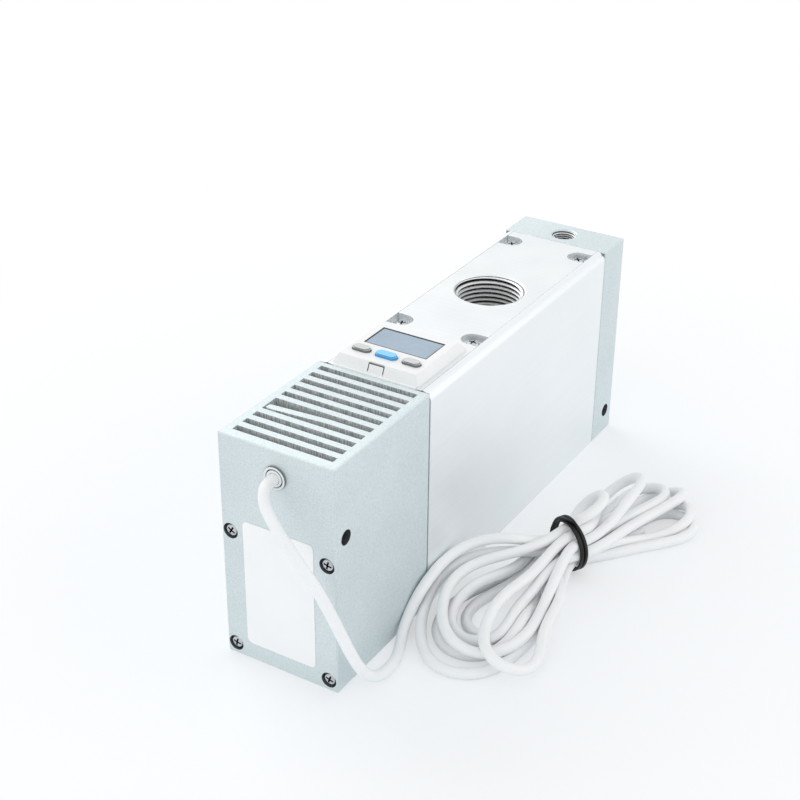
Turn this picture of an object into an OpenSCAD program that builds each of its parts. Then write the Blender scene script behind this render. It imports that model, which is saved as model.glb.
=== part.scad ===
// Two-row multistage vacuum ejector with a built-in silencer and a digital vacuum switch.
// X is across the body, Y runs along it from the exhaust end (-Y) to the supply end (+Y), Z is up.
// The origin is at the middle of the bottom face. Lengths are in millimetres.

/* [Body] */
// Width of the body across X
body_w = 45; // [43:1:50]
// Height of the body
body_h = 87; // [85:1:95]
// Length of the exhaust case at the -Y end
case_l = 58; // [58:1:70]
// Length of the extruded housing in the middle
housing_l = 136; // [134:1:160]
// Length of the supply block at the +Y end
supply_l = 18; // [16:1:26]
// Thickness of the sheet gaskets
gasket_t = 0.5; // [0.3:0.1:0.8]
// Bevel on the edges of the two end blocks
edge_bevel = 0.4; // [0.2:0.1:0.6]

/* [Housing] */
// Thickness of the side walls
wall_t = 3.5; // [3:0.25:4]
// Thickness of the floor
floor_t = 5; // [4:0.5:6]
// Radius of the two upper outer edges
corner_r = 3.5; // [2:0.5:3.5]
// Width of the ledges that carry the top cover
ledge_w = 6.5; // [6:0.5:7]
// Depth of those ledges
ledge_t = 6.5; // [5:0.5:7]
// Outer radius of the long screw ports
port_boss_r = 3.2; // [2.8:0.1:3.3]

/* [Top cover] */
// Thickness of the top cover
cover_t = 6; // [5:0.5:7]
// Distance of the vacuum port from the -Y end of the housing
vacuum_port_at = 81.5; // [78:0.5:92]
// Radius of the vacuum port, at the thread's roots
vacuum_port_r = 13.2; // [12:0.1:13.4]
// Depth of the vacuum port
vacuum_port_depth = 18; // [14:1:19]
// Wall of the port's sleeve under the cover
sleeve_t = 2.4; // [2:0.2:3.4]
// Distance of the cover screws from the inner edges of the ledges
cover_screw_edge = 2.3; // [2.1:0.1:2.6]
// Distance of the cover screws from the switch and from the cover's far end
cover_screw_gap = 8.7; // [7.5:0.1:10]
// Radius of the recesses round the cover screws
cover_recess_r = 4.3; // [3.2:0.1:4.4]
// Depth of those recesses
cover_recess_depth = 3; // [2.4:0.1:3.5]
// Thickness of the two struts that hold the filter down
strut_t = 3; // [2:0.5:4]

/* [Exhaust case] */
// Number of slots in the exhaust grille
slot_count = 10; // [8:1:10]
// Width of one slot
slot_w = 2.7; // [2.2:0.1:3]
// Solid wall beyond each end of a slot
slot_side = 3.2; // [3:0.2:5]
// Distance of the first slot from the front face
slot_start = 3.9; // [3.5:0.1:5]
// Distance of the last slot from the back of the case
slot_end = 3.25; // [3:0.25:5]
// Thickness of the slotted top wall
grille_t = 6; // [4:0.5:7]
// Side walls of the case
case_wall = 4; // [3.5:0.25:4.5]
// Number of slots over the solid front of the case, which the mounting hole crosses
front_slots = 2; // [2:1:3]
// Depth of the solid front's top below the top of the body
case_front_drop = 19; // [17:0.5:21]
// Sideways shift of the torn end of the damaged fin
torn_shift = 1.9; // [0.5:0.1:2]
// Gap that the tear left between the fin and the case
torn_gap = 0.6; // [0.3:0.1:1.2]
// Straight part of the damaged fin, as a share of its length
torn_straight = 0.4; // [0.2:0.05:0.7]

/* [Supply block] */
// Radius of the supply port, at the thread's roots
supply_port_r = 4.86; // [4.4:0.02:5.2]
// Depth of the supply port
supply_port_depth = 12; // [9:1:14]
// Distance of the supply port from the +Y end of the body
supply_port_at = 9.2; // [8.5:0.1:9.6]
// Radius of the air passages
passage_r = 3.2; // [2:0.1:3.4]

/* [Mounting holes] */
// Radius of the two cross holes that hold the body
mount_hole_r = 2.75; // [2:0.05:2.8]
// Distance of each cross hole from its end of the body
mount_hole_at = 6; // [5.6:0.1:6.2]
// Depth of the cross hole in the exhaust case below the top of the body
near_hole_drop = 28; // [26:0.5:30]
// Height of the cross hole in the supply block
far_hole_z = 10; // [10:0.5:11]

/* [Screws] */
// Radius of the screw shanks
screw_r = 1.5; // [1.2:0.05:1.6]
// Radius of the screw heads
head_r = 2.75; // [2.4:0.05:2.8]
// Height of the screw heads
head_h = 1.9; // [1.5:0.1:2]
// Skin between the long screw ports and the sides of the body
port_skin = 0.3; // [0.2:0.1:0.6]
// Height of the lower screw ports above the bottom of the body
port_rise = 1.1; // [0.8:0.1:2]
// Depth of the upper end screws below the core's top
upper_screw_drop = 6.8; // [5:0.1:8]
// Depth of the end screws' recesses
end_recess_depth = 2.2; // [2:0.1:3]
// Length of screw that is in the housing's screw ports
screw_grip = 12; // [8:1:20]
// Clearance of a shank in its hole
screw_clearance = 0.1; // [0.05:0.05:0.2]

/* [Ejector rows] */
// Gap between the floor and the lower row
row_floor_gap = 7; // [6.5:0.5:8]
// Gap between the upper row and the deck
row_deck_gap = 9; // [8.5:0.5:10]
// Outer radius of the diffusers
diffuser_r = 6; // [5:0.25:6.5]
// Outer radius of the nozzles
nozzle_r = 5; // [4:0.25:5.5]
// Throat radii of the nozzle and of the first, second and third diffuser
throat_r = [0.75, 1.3, 2, 3];
// Lengths of the first and second diffuser
diffuser_l = [26, 34];
// Length of the third diffuser that reaches into the exhaust case
outlet_tail = 12; // [8:1:20]
// Thickness of the core's cross walls
core_wall_t = 6; // [5:0.5:7]
// Thickness of the core's side walls
core_side_t = 3; // [2.5:0.25:3.5]
// Thickness of the top deck
deck_t = 3; // [2.5:0.25:3.5]
// Running clearance of parts that plug together
fit = 0.05; // [0.03:0.01:0.08]
// Radius of the O-rings' section
ring_r = 0.7; // [0.5:0.05:0.8]
// Thickness of the suction filter
filter_t = 4; // [3:0.5:5]
// Gap between the switch and the filter
filter_gap = 2; // [1:0.5:4]

/* [Check valves] */
// Thickness of the rubber flaps
flap_t = 1.2; // [0.9:0.1:1.4]
// Length of a flap from its bead to its free edge
flap_l = 17; // [15:0.5:18]
// Gap at each side of a flap
flap_side_gap = 0.9; // [0.5:0.1:3]
// Radius of the bead that a flap swings on
bead_r = 1.3; // [1.2:0.05:1.5]
// Width of the bar that holds the bead
retainer_w = 7; // [6.5:0.25:8]

/* [Vacuum switch] */
// Width of the switch at its foot
switch_w = 34; // [32:0.5:35]
// Length of the switch at its foot
switch_l = 33; // [32.5:0.25:33.5]
// Gap between the switch's foot and the exhaust case
switch_gap = 0.5; // [0.3:0.1:1]
// Height of the switch above the body
switch_rise = 4; // [3.5:0.25:5]
// Overhang of the switch's bezel at its front and back
bezel_lip = 1.5; // [1.4:0.1:2]
// Depth of the switch below the body's top
switch_depth = 21; // [20:0.5:22]
// Wall of the switch's shells
shell_t = 1.5; // [1.2:0.1:1.8]
// Distance of the display window from the sides of the switch's face
window_side = 3.2; // [3:0.1:5]
// Size of the display window along Y
window_l = 12.6; // [10:0.1:13]
// Width of the middle button
set_button_w = 8.4; // [7:0.1:9]
// Gap between the buttons
button_gap = 2.3; // [1.8:0.1:3]
// Distance of the outer buttons from the sides of the switch's face
button_side = 2; // [1.8:0.1:3]
// Height of the buttons above the switch's face
button_rise = 1.2; // [0.8:0.1:1.5]
// Travel of the buttons
button_travel = 0.5; // [0.3:0.05:0.6]
// Clearance round the buttons
button_clearance = 0.15; // [0.1:0.05:0.25]
// Thickness of the circuit board
board_t = 1.6; // [1:0.2:2]

/* [Label and cable] */
// Distance of the blank label from the sides of the body
label_side = 8.6; // [8:0.2:12]
// Height of the blank label
label_h = 49; // [40:1:52]
// Height of the label's middle
label_z = 31.5; // [30:0.5:33]
// Thickness of the label
label_t = 0.2; // [0.1:0.05:0.4]
// Diameter of the cable
cable_d = 4; // [3.8:0.1:4.2]
// Distance of the cable's outlet below the top
cable_drop = 10; // [9.5:0.25:10.5]
// Outer radius of the grommet's flange
grommet_r = 4.25; // [4:0.05:4.6]
// Thickness of the grommet's flange
grommet_t = 1; // [0.6:0.1:1.4]
// Height of the hank of cable
hank_h = 20; // [16:1:22]
// Thickness of the tie round the hank
tie_t = 1; // [0.8:0.1:1.4]
// Width of that tie
tie_w = 3.4; // [2.5:0.1:5]

/* [Hidden] */
$fn = 48;
eps = 0.01;

// Planes along the body
total_l = case_l + housing_l + supply_l;
front_y = -total_l / 2;
case_back_y = front_y + case_l - gasket_t;
housing_y = front_y + case_l;
housing_back_y = housing_y + housing_l;
supply_y = housing_back_y + gasket_t;
back_y = total_l / 2;

// The channel's inside
inner_w = body_w - 2 * wall_t;
cover_z = body_h - cover_t;
ledge_z = cover_z - gasket_t;
vacuum_port_y = housing_y + vacuum_port_at;
vacuum_sleeve_r = vacuum_port_r + sleeve_t;
sleeve_seat = 2;
strut_gap = 11.4;
supply_port_y = back_y - supply_port_at;
port_chamfer = 0.5;
near_hole_y = front_y + mount_hole_at;
near_hole_z = body_h - near_hole_drop;
far_hole_y = back_y - mount_hole_at;

// Heights down to the core
switch_back_z = body_h - switch_depth;
nipple_l = 3;
core_top_z = switch_back_z - nipple_l - filter_gap - filter_t;
deck_z = core_top_z - deck_t;

// The screws
shank_hole_r = screw_r + screw_clearance;
head_recess_r = head_r + 0.15;
end_screw_x = body_w / 2 - port_boss_r - port_skin;
end_screw_z = [port_boss_r + port_rise, core_top_z - upper_screw_drop];
cover_screw_x = inner_w / 2 - ledge_w + cover_screw_edge;
cover_screw_y = [housing_y + switch_gap + switch_l + cover_screw_gap, housing_back_y - cover_screw_gap];

// The exhaust case's slots and hollows
slot_l = body_w - 2 * slot_side;
slot_pitch = (case_l - slot_start - slot_end - slot_w) / (slot_count - 1);
case_front_h = body_h - case_front_drop;
plenum_y = front_y + slot_start - 0.5;
plenum_back_y = front_y + slot_start + (slot_count - 1) * slot_pitch + slot_w + 0.4;
chamber_y = front_y + slot_start + (front_slots - 1) * slot_pitch + slot_w;
chamber_w = body_w - 2 * case_wall;
grille_z = body_h - grille_t;
fin_w = slot_pitch - slot_w;
torn_fin = 3; // slots on the front side of the damaged fin, less one
cable_z = body_h - cable_drop;
cable_hole_r = cable_d / 2 + 0.1;
grommet_y = front_y - grommet_t;
grommet_sleeve_r = grommet_r - 0.75;
grommet_sleeve_l = plenum_y - front_y;
duct_r = grommet_sleeve_r + 0.7;

// The core and its rows
row_z = [floor_t + row_floor_gap + diffuser_r, deck_z - row_deck_gap - diffuser_r];
boss_gap = 0.4;
core_w = inner_w - 0.4;
core_neck_w = 2 * (end_screw_x - port_boss_r - boss_gap);
core_foot_z = end_screw_z[0] + port_boss_r + 2 * boss_gap;
core_shoulder_z = end_screw_z[1] - port_boss_r - boss_gap;
pocket_w = core_neck_w - 2 * core_side_t;
// Distances from one cross wall of the core to the next, from the supply end
chamber_l = [22, 36, 44];
nozzle_wall_y = housing_back_y - core_wall_t;
core_wall_y = [nozzle_wall_y, nozzle_wall_y - chamber_l[0], nozzle_wall_y - chamber_l[0] - chamber_l[1],
    nozzle_wall_y - chamber_l[0] - chamber_l[1] - chamber_l[2], housing_y];
nozzle_l = 16;
// Inlet ends of the three diffusers, and how far each stands out of the wall that holds it
inlet_lead = [2, 8, 14];
inlet_y = [for (i = [0 : 2]) core_wall_y[i + 1] + core_wall_t + inlet_lead[i]];
stage_l = [diffuser_l[0], diffuser_l[1], inlet_y[2] - housing_y + outlet_tail];
// Outlet radii at the diffusers' far ends
outlet_r = [2, 3, 4.4];
seat_step = 1;

// The two check valves: each swings on a bead at its -Y edge
flap_w = pocket_w - 2 * flap_side_gap;
bead_z = deck_z - bead_r - 0.1;
bead_y = [core_wall_y[1] - flap_l - 2, core_wall_y[2] - flap_l - 4];
retainer_h = 4;
window_margin = 3;
retainer_screw_r = 1;
retainer_head_r = 1.9;
retainer_head_h = 1.2;

// The switch
switch_y = housing_y + switch_gap + switch_l / 2;
switch_body_w = switch_w - 2 * bezel_lip - 1;
switch_body_l = switch_l - 2 * bezel_lip;
switch_top_z = body_h + switch_rise;
switch_top_w = switch_w - 3;
switch_top_l = switch_l - 5;
switch_top_y = switch_y - 1;
split_z = cable_z - cable_hole_r - shell_t - 0.4;
window_w = switch_top_w - 2 * window_side;
side_button_w = switch_top_w / 2 - button_side - set_button_w / 2 - button_gap;
button_pitch = (switch_top_w - side_button_w) / 2 - button_side;
shell_roof_z = switch_top_z - shell_t;
board_gap = 4.1;
board_z = shell_roof_z - board_gap - board_t;
button_y = switch_top_y - 8;
window_y = switch_top_y + 3.9;
window_t = 1;
button_flange = 0.5;
flange_t = 0.8;
tact_z = board_z + board_t;
stem_l = 0.6;
tact_w = 4.2;
tact_l = 3.2;
tact_h = board_gap - button_clearance - flange_t - stem_l - button_travel - 0.1;
seal_r = 0.4;
socket_w = 9;
socket_l = 5;
socket_y = switch_y - switch_body_l / 2 + shell_t + 1.5;

// The cable outside
// Route of the cable from the grommet down to the ground and to the hank
route = [[0, 0, cable_z], [0, -2, cable_z], [0, -4, cable_z], [1.5, -7, 75.5], [5, -9, 71],
    [10, -9.5, 64], [15, -9, 57], [20, -7.5, 49], [24, -5.5, 39], [27, -3, 28], [29, 1, 17],
    [30, 6, 8], [31, 12, 3.5], [31, 20, 2.2], [30, 28, 2.2], [31, 37, 3.5]];
cable_sides = 10;
// The hank lies beside the body, tied at its waist
tie_x = 53;
tie_y = 3;
waist_r = 8.5;
waist_w = tie_w + 2;
near_lobe = [50, -57];
near_lobe_r = 22;
far_lobe = [64, 44];
far_lobe_r = 19;

// ---- shared shapes ----

// A block with bevelled edges that stands on z = 0 and is centred in X, from y = 0
module bevelled_block(w, l, h, c) {
    intersection() {
        translate([-w / 2, 0, 0]) linear_extrude(h) bevelled_rect(w, l, c);
        translate([-w / 2, l, 0]) rotate([90, 0, 0]) linear_extrude(l) bevelled_rect(w, h, c);
        translate([-w / 2, 0, 0]) rotate([90, 0, 90]) linear_extrude(w) bevelled_rect(l, h, c);
    }
}

module bevelled_rect(w, l, c) {
    polygon([[c, 0], [w - c, 0], [w, c], [w, l - c], [w - c, l], [c, l], [0, l - c], [0, c]]);
}

module round_rect(w, l, r) {
    square([w - 2 * r, l], center = true);
    square([w, l - 2 * r], center = true);
    for (x = [-1, 1], y = [-1, 1])
        translate([x * (w / 2 - r), y * (l / 2 - r)]) circle(r, $fn = 32);
}

// A box centred in X and Y at the given place, between two heights
module box_at(w, l, y, z0, z1) {
    translate([-w / 2, y - l / 2, z0]) cube([w, l, z1 - z0]);
}

// A box centred in X, between two planes along Y and two heights
module span(w, y0, y1, z0, z1) {
    translate([-w / 2, y0, z0]) cube([w, y1 - y0, z1 - z0]);
}

// A cylinder along +Y that starts at the given point
module rod_y(r, x, y0, y1, z, fn = 48) {
    translate([x, y0, z]) rotate([-90, 0, 0]) cylinder(r = r, h = y1 - y0, $fn = fn);
}

// A cross hole through the whole width
module cross_hole(y, z) {
    translate([-body_w, y, z]) rotate([0, 90, 0]) cylinder(r = mount_hole_r, h = 2 * body_w);
}

module at_end_screws() {
    for (x = [-1, 1], z = end_screw_z) translate([x * end_screw_x, 0, z]) children();
}

module at_cover_screws() {
    for (x = [0, 1], y = cover_screw_y) mirror([x, 0, 0]) translate([cover_screw_x, y, 0]) children();
}

module at_retainer_screws(beads) {
    for (y = beads, x = [-1, 1]) translate([x * flap_w / 3, y - retainer_w / 2 - 0.5, 0]) children();
}

// Pan head screw along -Z, its head's seat on z = 0, with a cross recess
module pan_screw(l) {
    difference() {
        union() {
            rotate_extrude()
                polygon([[0, 0], [head_r, 0], [head_r, 0.45 * head_h],
                    [0.93 * head_r, 0.72 * head_h], [0.75 * head_r, 0.91 * head_h],
                    [0.5 * head_r, head_h], [0, head_h]]);
            translate([0, 0, -l]) cylinder(r = screw_r, h = l + eps);
        }
        for (a = [0, 90]) rotate([0, 0, a])
            translate([-0.6 * head_r, -0.13 * head_r, 0.45 * head_h])
                cube([1.2 * head_r, 0.26 * head_r, head_h]);
    }
}

// ---- housing and covers ----

module channel_profile() {
    difference() {
        union() {
            difference() {
                union() {
                    translate([-body_w / 2, 0]) square([body_w, body_h - corner_r]);
                    translate([-body_w / 2 + corner_r, 0]) square([body_w - 2 * corner_r, body_h]);
                    for (x = [-1, 1])
                        translate([x * (body_w / 2 - corner_r), body_h - corner_r]) circle(corner_r);
                }
                translate([-inner_w / 2, floor_t]) square([inner_w, body_h]);
            }
            for (x = [-1, 1], z = end_screw_z) translate([x * end_screw_x, z]) circle(port_boss_r);
            for (x = [-1, 1]) translate([x * (inner_w - ledge_w + 1) / 2, ledge_z - ledge_t / 2])
                square([ledge_w + 1, ledge_t], center = true);
        }
        for (x = [-1, 1], z = end_screw_z) translate([x * end_screw_x, z]) circle(screw_r + fit);
    }
}

module body_housing() {
    color("gainsboro") difference() {
        translate([0, housing_back_y, 0]) rotate([90, 0, 0]) linear_extrude(housing_l) channel_profile();
        at_cover_screws() translate([0, 0, ledge_z - ledge_t - eps])
            cylinder(r = screw_r + fit, h = ledge_t + 2 * eps);
        translate([0, vacuum_port_y, ledge_z - ledge_t - 1])
            cylinder(r = vacuum_sleeve_r + boss_gap, h = ledge_t + 2);
        span(switch_body_w + 1, housing_y - 1, switch_y + switch_body_l / 2 + 0.5,
            ledge_z - ledge_t - 1, ledge_z + 1);
    }
}

module top_cover() {
    gap = 0.05;
    color("whitesmoke") difference() {
        span(inner_w - 2 * gap, housing_y, housing_back_y, cover_z, body_h);
        translate([0, vacuum_port_y, cover_z - 1]) cylinder(r = vacuum_port_r, h = cover_t + 2);
        translate([0, vacuum_port_y, cover_z - 1]) cylinder(r = vacuum_sleeve_r + fit, h = sleeve_seat + 1);
        translate([0, vacuum_port_y, body_h - port_chamfer])
            cylinder(r1 = vacuum_port_r, r2 = vacuum_port_r + port_chamfer + eps, h = port_chamfer + eps);
        at_cover_screws() cover_recess();
        span(switch_body_w + 0.4, housing_y - 1, switch_y + switch_body_l / 2 + 0.2,
            cover_z - 1, body_h + 1);
        translate([0, 0, body_h - gasket_t]) linear_extrude(1) switch_gasket_outline(0.1);
    }
}

// Threaded sleeve of the vacuum port, seated in the cover from below
module vacuum_sleeve() {
    z0 = body_h - vacuum_port_depth;
    z1 = cover_z + sleeve_seat;
    color("whitesmoke") translate([0, vacuum_port_y, z0]) difference() {
        cylinder(r = vacuum_sleeve_r, h = z1 - z0);
        translate([0, 0, -1]) cylinder(r = vacuum_port_r, h = z1 - z0 + 2);
    }
}

// Two bars between the filter and the cover, on either side of the vacuum port
module filter_struts() {
    strut_y = vacuum_sleeve_r + strut_gap;
    color("silver") for (y = [-strut_y, strut_y])
        box_at(inner_w - 2 * ledge_w - 1, strut_t, vacuum_port_y + y, core_top_z + filter_t, cover_z);
}

// Hole and U-shaped recess of one cover screw, open to the nearer side wall
module cover_recess() {
    translate([0, 0, cover_z - 1]) cylinder(r = shank_hole_r, h = cover_t + 2);
    translate([0, 0, body_h - cover_recess_depth]) cylinder(r = cover_recess_r, h = cover_t);
    translate([0, -cover_recess_r, body_h - cover_recess_depth])
        cube([inner_w / 2 - cover_screw_x + 1, 2 * cover_recess_r, cover_t]);
}

module cover_gasket() {
    color("dimgray") difference() {
        span(inner_w - 0.2, switch_y + switch_body_l / 2 + 1, housing_back_y, ledge_z, cover_z);
        span(inner_w - 2 * ledge_w, housing_y, housing_back_y + 1, ledge_z - 1, cover_z + 1);
        at_cover_screws() translate([0, 0, ledge_z - 1]) cylinder(r = shank_hole_r + 0.2, h = 3);
        translate([0, vacuum_port_y, ledge_z - 1]) cylinder(r = vacuum_sleeve_r + boss_gap, h = 3);
    }
}

// ---- exhaust case with its grille ----

module slot_row() {
    for (i = [0 : slot_count - 1])
        translate([-slot_l / 2, front_y + slot_start + i * slot_pitch]) square([slot_l, slot_w]);
}

// The two slots beside the damaged fin run into one, and the fin stays in it, torn off at -X
module torn_slot() {
    y0 = front_y + slot_start + torn_fin * slot_pitch;
    fin_y = y0 + slot_w;
    bend_x = slot_l / 2 - torn_straight * slot_l;
    end_x = -slot_l / 2 + torn_gap;
    difference() {
        translate([-slot_l / 2, y0]) square([slot_l, slot_pitch + slot_w]);
        polygon([[slot_l / 2 + 1, fin_y], [bend_x, fin_y], [end_x + 1.2, fin_y - torn_shift],
            [end_x, fin_y - torn_shift + 0.6], [end_x + 0.5, fin_y - torn_shift + fin_w],
            [bend_x, fin_y + fin_w], [slot_l / 2 + 1, fin_y + fin_w]]);
    }
}

// The area of the two slots that torn_slot() replaces
module torn_area() {
    y0 = front_y + slot_start + torn_fin * slot_pitch;
    translate([-slot_l / 2 - eps, y0 - eps]) square([slot_l + 2 * eps, slot_pitch + slot_w + 2 * eps]);
}

module case_block() {
    difference() {
        union() {
            difference() {
                translate([0, front_y, 0]) bevelled_block(body_w, case_l - gasket_t, body_h, edge_bevel);
                span(slot_l, plenum_y, plenum_back_y, case_front_h, grille_z);
                span(chamber_w, chamber_y, plenum_back_y, floor_t, case_front_h + eps);
                span(chamber_w, chamber_y, case_back_y + 1, floor_t, core_top_z);
            }
            at_end_screws() rod_y(port_boss_r, 0, chamber_y - 1, case_back_y, 0);
            span(2 * duct_r, plenum_y - 1, plenum_back_y + 1, cable_z - duct_r, grille_z + eps);
        }
        translate([0, 0, grille_z - 0.1]) linear_extrude(grille_t + 1) {
            difference() {
                slot_row();
                torn_area();
            }
            torn_slot();
        }
        at_end_screws() {
            rod_y(shank_hole_r, 0, front_y - 1, case_back_y + 1, 0);
            rod_y(head_recess_r, 0, front_y - 1, front_y + end_recess_depth, 0);
        }
        cross_hole(near_hole_y, near_hole_z);
        rod_y(cable_hole_r, 0, front_y - 1, case_back_y + 1, cable_z);
        rod_y(grommet_sleeve_r + fit, 0, front_y - 1, front_y + grommet_sleeve_l, cable_z);
    }
}

// The case is in two nodes that meet behind the solid front
module exhaust_case() {
    color("lightsteelblue") intersection() {
        case_block();
        span(body_w + 2, chamber_y, case_back_y + 1, -1, body_h + 1);
    }
}

module case_front() {
    color("lightsteelblue") intersection() {
        case_block();
        span(body_w + 2, front_y - 1, chamber_y, -1, body_h + 1);
    }
}

module end_gasket(y, opening_w, opening_z0, opening_z1) {
    inset = 0.5;
    difference() {
        span(body_w - 2 * inset, y, y + gasket_t, inset, body_h - corner_r - inset);
        span(opening_w, y - 1, y + gasket_t + 1, opening_z0, opening_z1);
        at_end_screws() rod_y(shank_hole_r + 0.1, 0, y - 1, y + gasket_t + 1, 0);
        rod_y(cable_hole_r, 0, y - 1, y + gasket_t + 1, cable_z);
    }
}

module exhaust_gasket() {
    color("dimgray") end_gasket(case_back_y, pocket_w, floor_t + 4, deck_z);
}

// ---- supply block ----

module supply_block() {
    color("lightsteelblue") difference() {
        translate([0, supply_y, 0]) bevelled_block(body_w, back_y - supply_y, body_h, edge_bevel);
        translate([0, supply_port_y, body_h - supply_port_depth])
            cylinder(r = supply_port_r, h = supply_port_depth + 1);
        translate([0, supply_port_y, body_h - port_chamfer])
            cylinder(r1 = supply_port_r, r2 = supply_port_r + port_chamfer + eps, h = port_chamfer + eps);
        translate([0, supply_port_y, row_z[0] - passage_r])
            cylinder(r = passage_r, h = body_h - supply_port_depth - row_z[0] + passage_r + 1);
        for (z = row_z) rod_y(passage_r, 0, supply_y - 1, supply_port_y, z);
        at_end_screws() {
            rod_y(shank_hole_r, 0, supply_y - 1, back_y + 1, 0);
            rod_y(head_recess_r, 0, back_y - end_recess_depth, back_y + 1, 0);
        }
        cross_hole(far_hole_y, far_hole_z);
    }
}

module supply_gasket() {
    color("dimgray") difference() {
        end_gasket(housing_back_y, 1, -2, -1);
        for (z = row_z) rod_y(passage_r, 0, housing_back_y - 1, supply_y + 1, z);
    }
}

// ---- screws ----

module case_screws() {
    l = case_l - end_recess_depth + screw_grip;
    color("silver") at_end_screws()
        translate([0, front_y + end_recess_depth, 0]) rotate([90, 0, 0]) pan_screw(l);
}

module supply_screws() {
    l = supply_l - end_recess_depth + screw_grip;
    color("silver") at_end_screws()
        translate([0, back_y - end_recess_depth, 0]) rotate([-90, 0, 0]) pan_screw(l);
}

module cover_screws() {
    l = cover_t - cover_recess_depth + gasket_t + ledge_t;
    color("silver") at_cover_screws() translate([0, 0, body_h - cover_recess_depth]) pan_screw(l);
}

// ---- ejector core, nozzles and diffusers ----

module core_profile() {
    w = core_w / 2;
    n = core_neck_w / 2;
    polygon([[-n, floor_t], [n, floor_t], [n, core_foot_z], [w, core_foot_z], [w, core_shoulder_z],
        [n, core_shoulder_z], [n, core_top_z], [-n, core_top_z], [-n, core_shoulder_z],
        [-w, core_shoulder_z], [-w, core_foot_z], [-n, core_foot_z]]);
}

module ejector_core() {
    color("silver") difference() {
        translate([0, housing_back_y, 0]) rotate([90, 0, 0]) linear_extrude(housing_l) core_profile();
        for (i = [0 : 3])
            span(pocket_w, core_wall_y[i + 1] + core_wall_t, core_wall_y[i], floor_t - 1, deck_z);
        for (z = row_z) {
            rod_y(nozzle_r + fit, 0, core_wall_y[0] - 1, housing_back_y + 1, z);
            rod_y(diffuser_r + fit, 0, housing_y - 1, core_wall_y[1] + core_wall_t + 1, z);
        }
        // Open suction window over the nozzles, then one under each check valve
        span(pocket_w - 4, core_wall_y[1] + core_wall_t + 1, core_wall_y[0] - 1,
            deck_z - 1, core_top_z + 1);
        for (y = bead_y)
            span(flap_w - 2 * window_margin, y + window_margin, y + flap_l - window_margin,
                deck_z - 1, core_top_z + 1);
        at_retainer_screws(bead_y) translate([0, 0, deck_z - 1])
            cylinder(r = retainer_screw_r + fit, h = deck_t - 0.5 + 1);
    }
}

// Section of an O-ring's groove in a round part of radius r
module ring_groove(r, at) {
    translate([r + fit - 2 * ring_r, at - ring_r - 0.1]) square([2 * ring_r, 2 * ring_r + 0.2]);
}

// A stage that lies along Y with its inlet at y = 0 and its outlet at y = -l
module stage(r, l, inlet, throat, outlet, groove_at) {
    rotate([90, 0, 0]) rotate_extrude() difference() {
        polygon([[throat, 0.35 * l], [inlet, 0], [r - 0.6, 0], [r, 0.6], [r, l - 0.4],
            [r - 0.4, l], [outlet, l], [throat, 0.5 * l]]);
        ring_groove(r, groove_at);
    }
}

module nozzle(z) {
    color("goldenrod") translate([0, housing_back_y, z]) rotate([90, 0, 0]) rotate_extrude()
        difference() {
            polygon([[throat_r[0], 0.7 * nozzle_l], [passage_r, 0], [nozzle_r, 0],
                [nozzle_r, core_wall_t + seat_step], [0.7 * nozzle_r, core_wall_t + seat_step],
                [0.35 * nozzle_r, nozzle_l], [1.4 * throat_r[0], nozzle_l],
                [throat_r[0], 0.85 * nozzle_l]]);
            ring_groove(nozzle_r, core_wall_t / 2);
        }
}

// Distance along diffuser i from its inlet to the middle of the wall that holds it
function seat_at(i) = inlet_y[i] - (i < 2 ? core_wall_y[i + 1] : core_wall_y[4]) - core_wall_t / 2;

module diffuser(i, z) {
    color("ivory") translate([0, inlet_y[i], z])
        stage(diffuser_r, stage_l[i], 0.8 * diffuser_r, throat_r[i + 1], outlet_r[i], seat_at(i));
}

module ring_at(y, r, z) {
    translate([0, y, z]) rotate([90, 0, 0])
        rotate_extrude() translate([r + fit - ring_r, 0]) circle(ring_r - 0.02, $fn = 24);
}

module nozzle_seals() {
    color("black") for (z = row_z) ring_at(housing_back_y - core_wall_t / 2, nozzle_r, z);
}

module diffuser_seals() {
    color("black") for (i = [0 : 2], z = row_z) ring_at(inlet_y[i] - seat_at(i), diffuser_r, z);
}

// ---- check valves ----

module check_valve(y) {
    color("black") translate([-flap_w / 2, y, bead_z]) {
        rotate([0, 90, 0]) cylinder(r = bead_r, h = flap_w);
        translate([0, 0, bead_r - flap_t]) cube([flap_w, flap_l, flap_t]);
    }
}

module valve_retainer(y) {
    groove_r = bead_r + 0.1;
    color("silver") difference() {
        span(flap_w, y - retainer_w + groove_r + 1, y + groove_r + 1, deck_z - retainer_h, deck_z);
        translate([-flap_w, y, bead_z]) rotate([0, 90, 0]) cylinder(r = groove_r, h = 2 * flap_w);
        // The mouth widens downwards, so that the flap can swing open
        translate([-flap_w, y, bead_z]) rotate([90, 0, 90]) linear_extrude(2 * flap_w)
            polygon([[0, retainer_h], [retainer_w, retainer_h], [retainer_w, -retainer_w / 2], [0, 0]]);
        at_retainer_screws([y]) translate([0, 0, deck_z - retainer_h - 1])
            cylinder(r = retainer_screw_r + fit, h = retainer_h + 2);
    }
}

module retainer_screws() {
    color("silver") at_retainer_screws(bead_y) {
        translate([0, 0, deck_z - retainer_h - retainer_head_h])
            cylinder(r = retainer_head_r, h = retainer_head_h);
        translate([0, 0, deck_z - retainer_h - eps])
            cylinder(r = retainer_screw_r, h = retainer_h + deck_t - 0.6);
    }
}

// ---- filter and silencer ----

module suction_filter() {
    color("white") span(inner_w - 1, housing_y + 0.5, housing_back_y - 0.5,
        core_top_z, core_top_z + filter_t);
}

module silencer_foam() {
    foam_w = 2 * (end_screw_x - port_boss_r) - 0.6;
    color("darkgray") difference() {
        span(foam_w, chamber_y + 0.3, plenum_back_y - 0.3, floor_t, case_front_h);
        for (z = row_z) rod_y(diffuser_r + 1, 0, chamber_y + 8, case_back_y, z);
    }
}

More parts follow.
